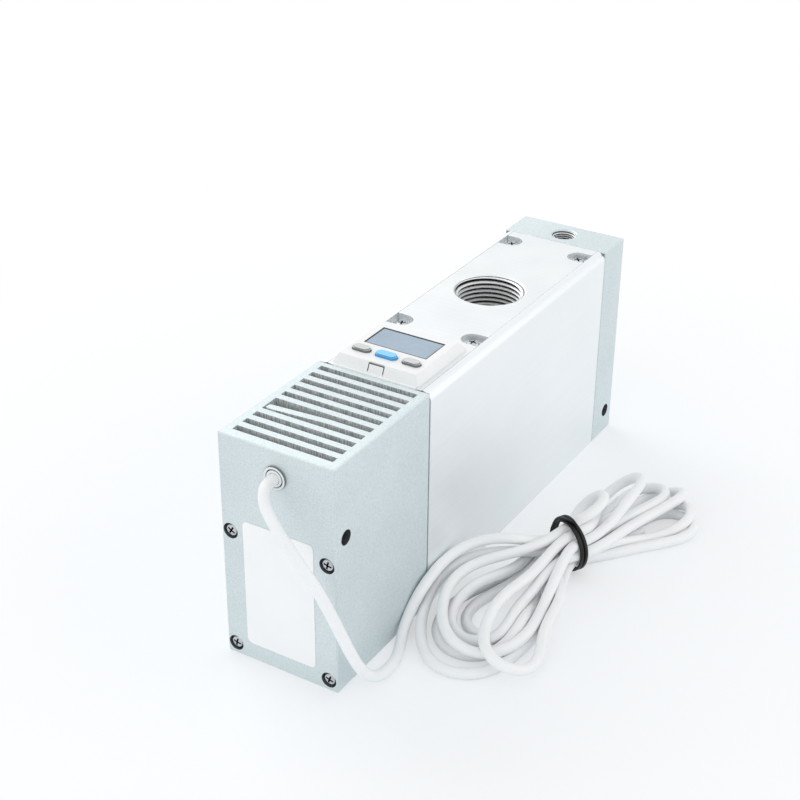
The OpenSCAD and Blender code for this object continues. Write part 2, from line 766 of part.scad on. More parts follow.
module grille_foam() {
    color("darkgray") span(slot_l - 0.6, plenum_y + 0.3, plenum_back_y - 0.3,
        case_front_h, cable_z - duct_r - 0.1);
}

// ---- vacuum switch ----

module switch_gasket_outline(grow) {
    difference() {
        translate([0, switch_y]) square([switch_body_w + 2.6 + 2 * grow, switch_body_l + 2.6 + 2 * grow],
            center = true);
        translate([0, switch_y]) square([switch_body_w + 0.2, switch_body_l + 0.2], center = true);
    }
}

module switch_gasket() {
    color("dimgray") intersection() {
        translate([0, 0, body_h - gasket_t]) linear_extrude(gasket_t) switch_gasket_outline(0);
        span(body_w, housing_y, housing_back_y, 0, body_h);
    }
}

module button_outline(w, grow) {
    l = 3.5;
    c = 1.1;
    a = w / 2 + grow;
    b = l / 2 + grow;
    polygon([[-a, -b + c], [-a + c, -b], [a - c, -b], [a, -b + c], [a, b - c], [a - c, b],
        [-a + c, b], [-a, b - c]]);
}

// The switch's front shell: a tapered bezel on the body and a hollow box sunk into it
module switch_case() {
    color("white") difference() {
        union() {
            hull() {
                box_at(switch_w, switch_l, switch_y, body_h, body_h + 0.8);
                box_at(switch_top_w, switch_top_l, switch_top_y, body_h, switch_top_z);
            }
            box_at(switch_body_w, switch_body_l, switch_y, split_z, body_h + eps);
        }
        box_at(switch_body_w - 2 * shell_t, switch_body_l - 2 * shell_t, switch_y, split_z - 1, tact_z);
        box_at(2 * (button_pitch + button_size(1) / 2 + button_flange + 0.2),
            switch_top_l - 2 * shell_t - 1, switch_top_y, tact_z - eps, shell_roof_z);
        box_at(window_w + 0.2, window_l + 0.2, window_y, switch_top_z - window_t - 0.2, switch_top_z + 1);
        box_at(window_w - 2.4, window_l - 2.4, window_y, shell_roof_z - 1, switch_top_z);
        for (i = [-1 : 1]) translate([i * button_pitch, button_y, shell_roof_z - 1])
            linear_extrude(shell_t + 2) button_outline(button_size(i), button_clearance);
        rod_y(cable_hole_r, 0, switch_y - switch_body_l, switch_y, cable_z);
        // Latch tab in the sloped front edge, and two ticks on the right edge
        for (x = [-3, 3]) translate([x - 0.2, switch_y - switch_l / 2 - 1, body_h + 0.6])
            cube([0.4, 2.4, switch_rise]);
        translate([-3, switch_y - switch_l / 2 + 1, body_h + 0.8 * switch_rise])
            cube([6, 0.7, switch_rise]);
    }
}

function button_size(i) = i == 0 ? set_button_w : side_button_w;

module switch_back() {
    color("white") difference() {
        union() {
            box_at(switch_body_w, switch_body_l, switch_y, switch_back_z, split_z);
            translate([0, switch_y, switch_back_z - nipple_l]) cylinder(r = 3, h = nipple_l + eps);
        }
        box_at(switch_body_w - 2 * shell_t, switch_body_l - 2 * shell_t, switch_y,
            switch_back_z + shell_t, split_z + 1);
        translate([0, switch_y, switch_back_z - nipple_l - 1]) cylinder(r = 1, h = nipple_l + shell_t + 2);
    }
}

module display_window() {
    color("lightsteelblue") box_at(window_w, window_l, window_y, switch_top_z - window_t - 0.2,
        switch_top_z - 0.2);
}

module display_module() {
    color("black") box_at(window_w - 2.4, window_l - 2.4, window_y, tact_z, shell_roof_z - 0.1);
}

module circuit_board() {
    color("seagreen") box_at(switch_body_w - 2 * shell_t - 0.3, switch_body_l - 2 * shell_t - 0.3,
        switch_y, board_z, tact_z);
}

module tact_switches() {
    color("black") for (i = [-1 : 1]) {
        translate([i * button_pitch, 0, 0])
            box_at(tact_w, tact_l, button_y, tact_z, tact_z + tact_h - 0.2);
        translate([i * button_pitch, button_y, tact_z + tact_h - 0.2 - eps]) cylinder(r = 1, h = 0.2 + eps);
    }
}

module button(i) {
    flange_z = shell_roof_z - button_clearance - flange_t;
    translate([i * button_pitch, button_y, 0]) {
        translate([0, 0, flange_z]) linear_extrude(flange_t) button_outline(button_size(i), button_flange);
        translate([0, 0, flange_z + flange_t - eps])
            linear_extrude(switch_top_z + button_rise - 0.4 - flange_z - flange_t + eps)
                button_outline(button_size(i), 0);
        translate([0, 0, switch_top_z + button_rise - 0.4 - eps]) linear_extrude(0.4 + eps)
            button_outline(button_size(i) - 0.6, -0.1);
        translate([0, 0, flange_z - stem_l]) cylinder(r = 1.2, h = stem_l + eps);
    }
}

module up_button() { color("lightgray") button(-1); }
module set_button() { color("deepskyblue") button(0); }
module down_button() { color("lightgray") button(1); }

module pressure_sensor() {
    can_z = switch_back_z + shell_t + 2 * seal_r;
    can_h = 5;
    lead_pitch = 2.54;
    color("dimgray") translate([0, switch_y, can_z]) {
        cylinder(r = can_h, h = can_h);
        for (i = [-1 : 1]) translate([i * lead_pitch, 0, can_h - eps])
            cylinder(r = 0.35, h = board_z - can_z - can_h + eps, $fn = 16);
    }
}

module sensor_seal() {
    color("black") translate([0, switch_y, switch_back_z + shell_t + seal_r])
        rotate_extrude() translate([3, 0]) circle(seal_r, $fn = 24);
}

module cable_socket() {
    color("ivory") box_at(socket_w, socket_l, socket_y + socket_l / 2, cable_z - cable_d / 2, board_z);
}

// ---- label and cable ----

module label_plate() {
    color("white") translate([0, front_y, label_z]) rotate([90, 0, 0])
        linear_extrude(label_t) round_rect(body_w - 2 * label_side, label_h, 2);
}

module cable_grommet() {
    color("white") difference() {
        union() {
            rod_y(grommet_r, 0, grommet_y, front_y, cable_z);
            rod_y(grommet_sleeve_r, 0, grommet_y, front_y + grommet_sleeve_l, cable_z);
        }
        rod_y(cable_hole_r, 0, grommet_y - 1, front_y + grommet_sleeve_l + 1, cable_z);
    }
}

module cable_inside() {
    color("white") rod_y(cable_d / 2, 0, grommet_y, socket_y, cable_z);
}

// Point t of a Catmull-Rom curve through four points
function spline4(a, b, c, d, t) =
    0.5 * (2 * b + (c - a) * t + (2 * a - 5 * b + 4 * c - d) * t * t
        + (3 * b - a - 3 * c + d) * t * t * t);
function smooth_route(p, n) = [for (i = [0 : len(p) - 2], k = [0 : n - 1])
    spline4(p[max(i - 1, 0)], p[i], p[i + 1], p[min(i + 2, len(p) - 1)], k / n), p[len(p) - 1]];
function unit(v) = v / norm(v);
function heading(p, i) = unit(p[min(i + 1, len(p) - 1)] - p[max(i - 1, 0)]);
// A side direction that is carried along the curve without twisting
function carried(p, i, side) = i == len(p) ? []
    : let (h = heading(p, i), s = unit(side - (side * h) * h)) concat([s], carried(p, i + 1, s));

// A round bar swept along the points p
module sweep(p, r, sides) {
    s = carried(p, 0, [1, 0, 0]);
    rings = [for (i = [0 : len(p) - 1], k = [0 : sides - 1])
        let (u = cross(heading(p, i), s[i]), a = 360 * k / sides) p[i] + r * (cos(a) * s[i] + sin(a) * u)];
    n = len(p);
    polyhedron(rings, concat(
        [[for (k = [0 : sides - 1]) k]],
        [[for (k = [0 : sides - 1]) (n - 1) * sides + sides - 1 - k]],
        [for (i = [0 : n - 2], k = [0 : sides - 1])
            let (a = i * sides + k, b = i * sides + (k + 1) % sides) [a, a + sides, b + sides, b]]));
}

module switch_cable() {
    p = [for (q = smooth_route(route, 2)) [q[0], grommet_y + q[1], q[2]]];
    color("white") sweep(p, cable_d / 2, cable_sides);
}

module hank_outline() {
    hull() {
        translate(near_lobe) circle(near_lobe_r, $fn = 32);
        translate([tie_x, tie_y]) circle(waist_r, $fn = 32);
    }
    hull() {
        translate(far_lobe) circle(far_lobe_r, $fn = 32);
        translate([tie_x, tie_y]) circle(waist_r, $fn = 32);
    }
}

module cable_hank() {
    color("white") difference() {
        linear_extrude(hank_h) hank_outline();
        translate([tie_x, tie_y, 0]) difference() {
            translate([-3 * waist_r, -waist_w / 2, -1]) cube([6 * waist_r, waist_w, hank_h + 2]);
            waist(waist_r, hank_h / 2 - tie_t, waist_w + 2);
        }
    }
}

// An oval bar along Y at the hank's waist
module waist(rx, rz, l) {
    translate([0, l / 2, hank_h / 2]) rotate([90, 0, 0])
        linear_extrude(l) round_rect(2 * rx, 2 * rz, min(rx, rz) - 0.5);
}

module cable_tie() {
    color("black") translate([tie_x, tie_y, 0]) difference() {
        waist(waist_r + tie_t, hank_h / 2, tie_w);
        waist(waist_r, hank_h / 2 - tie_t, tie_w + 2);
    }
}

body_housing();
top_cover();
vacuum_sleeve();
filter_struts();
cover_gasket();
case_front();
exhaust_case();
exhaust_gasket();
supply_block();
supply_gasket();
case_screws();
supply_screws();
cover_screws();
ejector_core();
nozzle(row_z[0]);  // nozzle_lower
nozzle(row_z[1]);  // nozzle_upper
nozzle_seals();
diffuser(0, row_z[0]);  // first_diffuser_lower
diffuser(0, row_z[1]);  // first_diffuser_upper
diffuser(1, row_z[0]);  // second_diffuser_lower
diffuser(1, row_z[1]);  // second_diffuser_upper
diffuser(2, row_z[0]);  // third_diffuser_lower
diffuser(2, row_z[1]);  // third_diffuser_upper
diffuser_seals();
check_valve(bead_y[0]);  // first_check_valve
check_valve(bead_y[1]);  // second_check_valve
valve_retainer(bead_y[0]);  // first_valve_retainer
valve_retainer(bead_y[1]);  // second_valve_retainer
retainer_screws();
suction_filter();
silencer_foam();
grille_foam();
switch_case();
switch_back();
switch_gasket();
display_window();
display_module();
circuit_board();
tact_switches();
up_button();
set_button();
down_button();
pressure_sensor();
sensor_seal();
cable_socket();
cable_inside();
cable_grommet();
label_plate();
switch_cable();
cable_hank();
cable_tie();
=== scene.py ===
import bpy
import bmesh
import numpy as np
from mathutils import Matrix, Vector


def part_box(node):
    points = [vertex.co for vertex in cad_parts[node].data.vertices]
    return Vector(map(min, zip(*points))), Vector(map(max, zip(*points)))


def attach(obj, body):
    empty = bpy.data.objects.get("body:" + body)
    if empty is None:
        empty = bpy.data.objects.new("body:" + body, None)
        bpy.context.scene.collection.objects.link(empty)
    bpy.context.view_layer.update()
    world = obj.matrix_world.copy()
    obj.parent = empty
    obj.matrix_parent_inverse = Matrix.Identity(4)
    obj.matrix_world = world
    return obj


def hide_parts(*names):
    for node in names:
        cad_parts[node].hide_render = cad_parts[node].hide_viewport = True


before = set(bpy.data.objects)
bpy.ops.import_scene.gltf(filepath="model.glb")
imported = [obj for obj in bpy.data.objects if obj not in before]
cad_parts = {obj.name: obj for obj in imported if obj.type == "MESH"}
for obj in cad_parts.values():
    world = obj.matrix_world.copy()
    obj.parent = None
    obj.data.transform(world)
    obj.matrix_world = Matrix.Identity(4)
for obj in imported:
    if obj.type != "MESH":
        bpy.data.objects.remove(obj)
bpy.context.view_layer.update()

# Camera: a long lens that looks down on the block from the right of its near end.
view_from = Vector((0.2528, -0.4464, 0.3400))
view_along = Vector((-0.4543, 0.7467, -0.4858)).normalized()
view_right = view_along.cross(Vector((-0.2595, 0.4107, 0.8741))).normalized()
view_up = view_right.cross(view_along)
lens = bpy.data.cameras.new("camera")
lens.lens, lens.sensor_width, lens.clip_start, lens.clip_end = 71.03, 36.0, 0.01, 20.0
camera = bpy.data.objects.new("camera", lens)
bpy.context.collection.objects.link(camera)
camera.matrix_world = Matrix.Translation(view_from) @ Matrix(
    (view_right, view_up, -view_along)).transposed().to_4x4()
bpy.context.scene.camera = camera
bpy.context.scene.view_settings.view_transform = "Standard"


# The switch's lead: a round two metre cable with a soft off-white PVC sheath over its cores. It leaves the grommet,
# drops to the bench, turns back beside the block and is folded into a hank of thirteen strands that a tie holds.
MM = 0.001


def linear(code):
    """An sRGB hex colour as the linear RGBA that a socket takes."""
    part = [int(code[i:i + 2], 16) / 255 for i in (0, 2, 4)]
    return tuple(c / 12.92 if c <= 0.04045 else ((c + 0.055) / 1.055) ** 2.4 for c in part) + (1.0,)


def add(tree, kind, links=None, **settings):
    """Add one node. settings are its attributes; links sets its sockets to values or joins them to outputs."""
    made = tree.nodes.new(kind)
    for name, value in settings.items():
        setattr(made, name, value)
    for name, value in (links or {}).items():
        if isinstance(value, bpy.types.NodeSocket):
            tree.links.new(value, made.inputs[name])
        else:
            made.inputs[name].default_value = value
    return made


def finish(name):
    """A new empty material and its tree."""
    made = bpy.data.materials.new(name)
    made.use_nodes = True
    made.node_tree.nodes.clear()
    return made, made.node_tree


def wear(material, *nodes):
    """Give CAD nodes this material."""
    for name in nodes:
        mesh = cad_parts[name].data
        mesh.materials.clear()
        mesh.materials.append(material)


def keep(obj, body="root", stands_for=()):
    """Hand a finished piece to the frame."""
    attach(obj, body)
    if stands_for:
        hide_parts(*stands_for)
    return obj


# The route, in millimetres: free_run goes from the grommet down to the bench, and its points are measured from the
# exit. rise goes from there up to the tie.
cable_d = 4.0
exit_at = (0.0, -107.0, 77.0)
free_run = [(0, 0, 0), (0, -2.2, 0), (0.5, -5.4, -0.7), (1.9, -7.9, -2.7), (3.7, -8.9, -5.3), (6.7, -9.4, -9.6),
            (10.5, -9.5, -14.6), (15, -9, -21), (20, -7.5, -29), (24, -5.5, -38.5), (27, -2.8, -49), (29, 1.2, -60),
            (30.2, 6, -68.5), (31, 12, -73.2), (31, 20, -74.8), (30, 28, -74.8)]
rise = [(26.8, -75.9, 3), (26.6, -71, 7), (26, -64, 12), (25, -53, 16), (25.5, -42, 18.5), (27.5, -31, 19.5),
        (32, -22.5, 19.5), (40, -15.5, 19), (48, -9.5, 18)]
# The tie's middle, and the way that the strands run through it.
tie_at = (54.5, 0.5, 10.0)
tie_way = (0.469, 0.883)
# Thirteen places in the tie, across and up from its middle, in the order that the cable passes them.
places = [(-4.4, 3.2), (-2, 6.4), (4.4, 3.2), (2, 6.4), (2.2, 0), (-6.4, 0), (6.4, 0), (0, 3.2), (4.4, -3.2),
          (-4.4, -3.2), (2, -6.4), (-2.2, 0), (-2, -6.4)]
# The folds on both sides of the tie, also in the cable's order: from the tie out, round and back to it.
near_folds = [
    [(47, -14, 17.5), (38, -24.5, 17), (32, -35, 16.5), (31, -44.5, 16), (33, -53.5, 15), (38.5, -63, 13.5),
     (44.5, -69, 12), (51, -71, 10.5), (56.5, -68, 9), (61, -61, 8), (62.5, -49, 7.5), (61, -30, 8)],
    [(56, -14, 15), (53.5, -24.5, 15.5), (51, -36, 16), (50.5, -47.5, 16), (53, -57.5, 15), (57.5, -66.5, 13),
     (63.5, -72, 11.5), (69, -72, 10), (71.5, -66, 9), (70, -56, 8.5), (66.5, -42, 8), (63.5, -28, 8),
     (60.5, -15.5, 8)],
    [(47, -16, 12), (40.5, -26, 12.5), (36.4, -39.5, 12), (37.2, -52, 11), (42, -60.5, 9.5), (49, -63.5, 8),
     (54.5, -58, 7), (57, -44, 6.5), (57, -24, 6.5)],
    [(46, -12.5, 15), (34.5, -20, 15), (27, -30, 14.5), (24.8, -42.5, 13.5), (26.5, -54, 12), (30, -64.5, 9),
     (36.5, -73, 6), (44, -77.5, 3.5), (51.5, -78, 2), (57.5, -75, 2), (61.5, -68.5, 2), (63, -57, 2),
     (61.5, -36, 2.5), (58, -16, 4)],
    [(43, -15, 6), (35, -30, 5), (31, -46, 3.5), (34, -60, 2.5), (43, -68.5, 2.5), (53, -67, 2.5), (59, -56, 2.5),
     (59, -36, 3), (55.5, -16, 3.5)],
    [(46, -16, 6), (41, -30, 4.5), (39, -44, 3), (44, -55, 2.5), (53, -56, 2.5), (59, -46, 2.5), (60, -30, 4),
     (57.5, -15, 5)]]
far_folds = [
    [(51.5, 12, 15.5), (49.5, 17, 18), (51, 21.5, 20.5), (55, 22.8, 22.5), (58.3, 19.5, 23.5), (59, 14, 22.5),
     (57.5, 9, 19.5)],
    [(61, 9, 15), (63, 15, 17.5), (64, 22.5, 20), (64.5, 31, 21.5), (64, 39.5, 22), (60.8, 46.8, 20.5),
     (56.3, 48.8, 18), (53.3, 45, 15.5), (52.8, 37, 14), (54, 22, 13)],
    [(61, 13, 12), (63, 23, 13), (65, 33.5, 13), (68, 43, 12.5), (69.7, 51, 12), (68, 57.5, 11), (63.5, 60.5, 9.5),
     (59, 58, 8.5), (56.5, 50, 8), (54.5, 36, 8), (52, 20, 9)],
    [(63, 12, 10.5), (66, 21, 11), (69, 31, 11.5), (71.5, 41.5, 12), (74, 51.5, 11.5), (75, 59, 10), (71.5, 64.5, 8),
     (66, 62, 6.5), (62.5, 53, 5.5), (60, 42, 5), (57.5, 30, 6), (54.5, 17, 9)],
    [(62.5, 12, 6), (67, 21, 5), (73, 30.5, 4.5), (78.5, 39, 4.5), (81.8, 46.5, 5), (81, 54, 5.5), (75.5, 57.5, 6),
     (70.5, 53, 5.5), (66, 44, 4.5), (61.5, 33, 4), (55.5, 18, 5)],
    [(61.5, 12, 3), (68, 18, 2), (75, 26, 2), (80.5, 34.5, 2), (84, 43, 2), (83, 51, 2), (77, 53.5, 2),
     (71.5, 47, 2), (66.5, 37, 2), (62, 26, 2.5), (57, 14, 6)]]
# The bare end, tucked into the far lobe.
tail = [(57, 14, 3.5), (62.5, 25, 2.5), (67.5, 35, 2.5)]


def through(points, count=12):
    """A centripetal Catmull-Rom curve through the points."""
    p = np.array(points, float)
    q = np.vstack([2 * p[0] - p[1], p, 2 * p[-1] - p[-2]])
    out = []
    for a, b, c, d in zip(q, q[1:], q[2:], q[3:]):
        tb = np.linalg.norm(b - a) ** 0.5
        tc = tb + np.linalg.norm(c - b) ** 0.5
        td = tc + np.linalg.norm(d - c) ** 0.5
        for t in np.linspace(tb, tc, count, endpoint=False):
            e = (tb - t) / tb * a + t / tb * b
            f = (tc - t) / (tc - tb) * b + (t - tb) / (tc - tb) * c
            g = (td - t) / (td - tc) * c + (t - tc) / (td - tc) * d
            h = (tc - t) / tc * e + t / tc * f
            k = (td - t) / (td - tb) * f + (t - tb) / (td - tb) * g
            out.append((tc - t) / (tc - tb) * h + (t - tb) / (tc - tb) * k)
    return np.array(out + [p[-1]])


def even(curve, step):
    """The curve at an even step along itself."""
    run = np.r_[0, np.cumsum(np.linalg.norm(np.diff(curve, axis=0), axis=1))]
    at = np.linspace(0, run[-1], int(round(run[-1] / step)) + 1)
    return np.column_stack([np.interp(at, run, curve[:, k]) for k in range(3)])


def settle(line, step, held, rounds=1000):
    """Let the folded cable settle: strands part to a diameter, bends ease, and all of it rests on the bench, beside
    the block's wall and inside the tie. The first points, up to held, stay."""
    # how far it drops in a round, and how much of the way back to its route it goes
    sink, home = 0.04, np.array([0.02, 0.02, 0.01])
    # the sheath's springiness, and the radius of bend below which it straightens
    stiff, least_bend = 0.06, 11.0
    # what the tie takes hold of along and across, its inside, and the block's wall with its near end
    tie_along, tie_across, tie_inside, wall_x, wall_end = 4.5, 12, 7.0, 22.5 + cable_d / 2, -106
    x, start, count = line.copy(), line.copy(), len(line)
    free = np.ones(count)
    free[:held] = 0
    index = np.arange(count)
    way = np.array([*tie_way, 0.0])
    side = np.array([way[1], -way[0], 0.0])
    near_tie = (abs((x - tie_at) @ way) < tie_along) & (abs((x - tie_at) @ side) < tie_across)
    tied = np.where(near_tie & (index > held))[0]
    for turn in range(rounds):
        calm = max(0.0, 1 - turn / (0.85 * rounds))
        x[:, 2] -= sink * calm * free
        x += (start - x) * (home * calm) * free[:, None]
        if turn % 8 == 0:    # strands near each other are looked for now and then
            gap = ((x[:, None] - x[None]) ** 2).sum(-1)
            i, j = np.where(gap < (cable_d + 3) ** 2)
            i, j = i[j - i > 3 * cable_d / step], j[j - i > 3 * cable_d / step]
        for _ in range(2):
            away = x[j] - x[i]
            far = np.linalg.norm(away, axis=1) + 1e-9
            push = away / far[:, None] * (np.clip(cable_d * 1.01 - far, 0, None) * 0.5)[:, None]
            move, hits = np.zeros_like(x), np.zeros(count)
            np.add.at(move, i, -push)
            np.add.at(move, j, push)
            np.add.at(hits, i, far < cable_d)
            np.add.at(hits, j, far < cable_d)
            x += move / np.maximum(hits, 1)[:, None] * free[:, None]
            bend = x[:-4] - 4 * x[1:-3] + 6 * x[2:-2] - 4 * x[3:-1] + x[4:]
            x[2:-2] -= stiff * bend * free[2:-2, None]
            middle = (x[:-2] + x[2:]) / 2 - x[1:-1]
            sag = np.linalg.norm(middle, axis=1)
            most = step * step / (2 * least_bend)
            ease = middle * (np.where(sag > most, (sag - most) / np.maximum(sag, 1e-9), 0) * 0.6)[:, None]
            x[1:-1] += ease * free[1:-1, None] * 0.66
            x[:-2] -= ease * 0.33 * free[:-2, None]
            x[2:] -= ease * 0.33 * free[2:, None]
            for first in (0, 1):
                a = np.arange(first, count - 1, 2)
                b = a + 1
                link = x[b] - x[a]
                size = np.linalg.norm(link, axis=1) + 1e-9
                share = np.maximum(free[a] + free[b], 1)
                fix = link / size[:, None] * ((size - step) / share)[:, None]
                x[a] += fix * free[a][:, None]
                x[b] -= fix * free[b][:, None]
            off = x[tied] - tie_at
            off -= np.outer(off @ way, way)
            out = np.linalg.norm(off, axis=1)
            x[tied] -= off * (1 - np.where(out > tie_inside, tie_inside / np.maximum(out, 1e-9), 1))[:, None]
            x[:, 2] = np.where(free > 0, np.maximum(x[:, 2], cable_d / 2), x[:, 2])
            beside = (x[:, 0] < wall_x) & (x[:, 1] > wall_end) & (free > 0)
            x[beside, 0] = wall_x
    return x


first_leg = [(exit_at[0] + x, exit_at[1] + y, exit_at[2] + z) for x, y, z in free_run]
knots = list(first_leg) + rise
in_tie = [[(tie_at[0] + a * tie_way[1] + b * tie_way[0], tie_at[1] - a * tie_way[0] + b * tie_way[1], tie_at[2] + z)
           for b in (-6, 0, 6)] for a, z in places]
knots += in_tie[0]
for k in range(6):
    knots += far_folds[k] + in_tie[2 * k + 1][::-1] + near_folds[k] + in_tie[2 * k + 2]
knots += tail
laid_every, drawn_every = 2.5, 1.25
laid = even(through(knots), laid_every)
step = float(np.linalg.norm(np.diff(laid, axis=0), axis=1).mean())
held = int(np.linalg.norm(np.diff(through(first_leg), axis=0), axis=1).sum() / step) - 2
line = even(through(settle(laid, step, held)[::2]), drawn_every) * MM
spine = bpy.data.curves.new("cable", "CURVE")
spine.dimensions, spine.bevel_depth, spine.bevel_resolution, spine.resolution_u = "3D", cable_d / 2 * MM, 4, 3
spine.use_fill_caps = True
path = spine.splines.new("POLY")
path.points.add(len(line) - 1)
path.points.foreach_set("co", np.column_stack([line, np.ones(len(line))]).ravel())
cable = bpy.data.objects.new("cable", spine)
bpy.context.collection.objects.link(cable)
# PVC sheaths come off the extruder dull, with a faint cloudiness in patches of 11 mm and a skin that catches soft
# light. The die's drag marks are under 0.1 mm and are drawn at 0.9 mm.
pvc, tree = finish("soft_pvc_sheath")
where = add(tree, "ShaderNodeTexCoord").outputs["Object"]
cloud = add(tree, "ShaderNodeTexNoise", {"Vector": where, "Scale": 90.0, "Detail": 4.0})
tone = add(tree, "ShaderNodeMix", {"Factor": cloud.outputs["Fac"], "A": linear("F0F2F4"), "B": linear("FAFBFB")},
           data_type="RGBA")
drag = add(tree, "ShaderNodeTexNoise", {"Vector": where, "Scale": 1100.0, "Detail": 2.0})
dull = add(tree, "ShaderNodeMapRange", {"Value": drag.outputs["Fac"], "To Min": 0.38, "To Max": 0.52})
relief = add(tree, "ShaderNodeBump", {"Height": drag.outputs["Fac"], "Strength": 0.08, "Distance": 0.0001})
skin = add(tree, "ShaderNodeBsdfPrincipled", {
    "Base Color": tone.outputs["Result"], "Roughness": dull.outputs["Result"], "IOR": 1.52,
    "Normal": relief.outputs["Normal"]})
add(tree, "ShaderNodeOutputMaterial", {"Surface": skin.outputs["BSDF"]})
spine.materials.append(pvc)
wear(pvc, "cable_inside")
keep(cable, "root", ["switch_cable", "cable_hank"])


# The tie: one flat strap moulded in black nylon, with a shallow groove along its middle. It is drawn tight round the
# thirteen strands, and its clipped end lies over its start and stands off a little.
def mesh_piece(name, points, faces, material, smooth=0.6):
    """A new object from points in metres; edges sharper than the angle stay crisp."""
    mesh = bpy.data.meshes.new(name)
    mesh.from_pydata([tuple(p) for p in points], [], faces)
    skin_of = bmesh.new()
    skin_of.from_mesh(mesh)
    bmesh.ops.recalc_face_normals(skin_of, faces=skin_of.faces)
    skin_of.to_mesh(mesh)
    skin_of.free()
    mesh.materials.append(material)
    mesh.shade_smooth()
    mesh.set_sharp_from_angle(angle=smooth)
    made = bpy.data.objects.new(name, mesh)
    bpy.context.collection.objects.link(made)
    return made


def sweep(rings, closed=False):
    """Points and faces of a skin through rings of points, with flat ends unless it is closed."""
    size, count = len(rings[0]), len(rings)
    points = [p for ring in rings for p in ring]
    faces = []
    for i in range(count if closed else count - 1):
        a, b = i * size, (i + 1) % count * size
        faces += [(a + j, a + (j + 1) % size, b + (j + 1) % size, b + j) for j in range(size)]
    if not closed:
        faces += [tuple(range(size))[::-1], tuple((count - 1) * size + j for j in range(size))]
    return points, faces


strap_w, strap_t, strap_r = 3.4, 1.0, 9.0
# a section of the strap every three degrees; it climbs over its start from lap_from and narrows from tip_from
sections, turn_deg, start_deg, lap_from, tip_from = 137, 3, 118, 108, 126
rings = []
for k in range(sections):
    t = np.radians(start_deg - turn_deg * k)
    over = min(1.0, max(0.0, (k - lap_from) / 10))
    taper = 1.0 if k < tip_from else max(0.15, 1 - (k - tip_from + 1) / 12)
    out = strap_r + over * strap_t + 0.09 * max(0, k - tip_from)
    w = strap_w / 2 * taper
    ring = []
    # across the strap, and its height in strap thicknesses
    for y, h in ((-w, 0.3), (-w, 0.75), (-0.8 * w, 1), (-0.25 * w, 1), (-0.1 * w, 0.45), (0.1 * w, 0.45),
                 (0.25 * w, 1), (0.8 * w, 1), (w, 0.75), (w, 0.3), (0.8 * w, 0), (-0.8 * w, 0)):
        a = (out + h * strap_t) * np.cos(t)
        ring.append(((tie_at[0] + a * tie_way[1] + y * tie_way[0]) * MM,
                     (tie_at[1] - a * tie_way[0] + y * tie_way[1]) * MM,
                     max(0.05, tie_at[2] + (out + h * strap_t) * np.sin(t)) * MM))
    rings.append(ring)
# Moulded nylon 6.6 is nearly black and satin, and shows only a soft gleam. Its haze lies in patches of 1.4 mm.
nylon, tree = finish("black_nylon")
where = add(tree, "ShaderNodeTexCoord").outputs["Object"]
haze = add(tree, "ShaderNodeTexNoise", {"Vector": where, "Scale": 700.0, "Detail": 3.0})
tone = add(tree, "ShaderNodeMix", {"Factor": haze.outputs["Fac"], "A": linear("060707"), "B": linear("141516")},
           data_type="RGBA")
relief = add(tree, "ShaderNodeBump", {"Height": haze.outputs["Fac"], "Strength": 0.15, "Distance": 0.0001})
skin = add(tree, "ShaderNodeBsdfPrincipled", {
    "Base Color": tone.outputs["Result"], "Roughness": 0.45, "IOR": 1.53, "Specular IOR Level": 0.3,
    "Normal": relief.outputs["Normal"]})
add(tree, "ShaderNodeOutputMaterial", {"Surface": skin.outputs["BSDF"]})
tie = mesh_piece("tie", *sweep(rings), nylon)
keep(tie, "root", ["cable_tie"])


# The ejector core, the sensor's can, the valve retainers and the bars beside the filter: aluminium die castings with
# the dull skin that the mould leaves, mottled in patches of 6 mm, with a grain of 0.5 mm. All are hidden once the
# housing is closed.
cast, tree = finish("cast_aluminium")
where = add(tree, "ShaderNodeTexCoord").outputs["Object"]
flow = add(tree, "ShaderNodeTexNoise", {"Vector": where, "Scale": 160.0, "Detail": 5.0, "Distortion": 0.6})
tone = add(tree, "ShaderNodeMix", {"Factor": flow.outputs["Fac"], "A": linear("A3A7AA"), "B": linear("C3C6C8")},
           data_type="RGBA")
grain = add(tree, "ShaderNodeTexNoise", {"Vector": where, "Scale": 2200.0, "Detail": 2.0})
relief = add(tree, "ShaderNodeBump", {"Height": grain.outputs["Fac"], "Strength": 0.2, "Distance": 0.0001})
skin = add(tree, "ShaderNodeBsdfPrincipled", {
    "Base Color": tone.outputs["Result"], "Metallic": 1.0, "Roughness": 0.55, "Normal": relief.outputs["Normal"]})
add(tree, "ShaderNodeOutputMaterial", {"Surface": skin.outputs["BSDF"]})
wear(cast, "ejector_core", "first_valve_retainer", "second_valve_retainer", "filter_struts", "pressure_sensor")


# The two nozzles: turned from brass bar and pressed into the core, one for each row. The turning tool leaves fine
# rings round the row's axis; at its real feed of 0.1 mm they wouldn't show, so they are drawn 0.8 mm apart.
brass, tree = finish("turned_brass")
where = add(tree, "ShaderNodeTexCoord").outputs["Object"]
rings_of_tool = add(tree, "ShaderNodeTexWave", {"Vector": where, "Scale": 380.0, "Distortion": 0.3},
                    wave_type="BANDS", bands_direction="Y")
tone = add(tree, "ShaderNodeMix", {"Factor": rings_of_tool.outputs["Fac"], "A": linear("C4A255"),
                                   "B": linear("D6B66E")}, data_type="RGBA")
relief = add(tree, "ShaderNodeBump", {"Height": rings_of_tool.outputs["Fac"], "Strength": 0.1, "Distance": 0.00005})
skin = add(tree, "ShaderNodeBsdfPrincipled", {
    "Base Color": tone.outputs["Result"], "Metallic": 1.0, "Roughness": 0.28, "Normal": relief.outputs["Normal"]})
add(tree, "ShaderNodeOutputMaterial", {"Surface": skin.outputs["BSDF"]})
wear(brass, "nozzle_lower", "nozzle_upper")


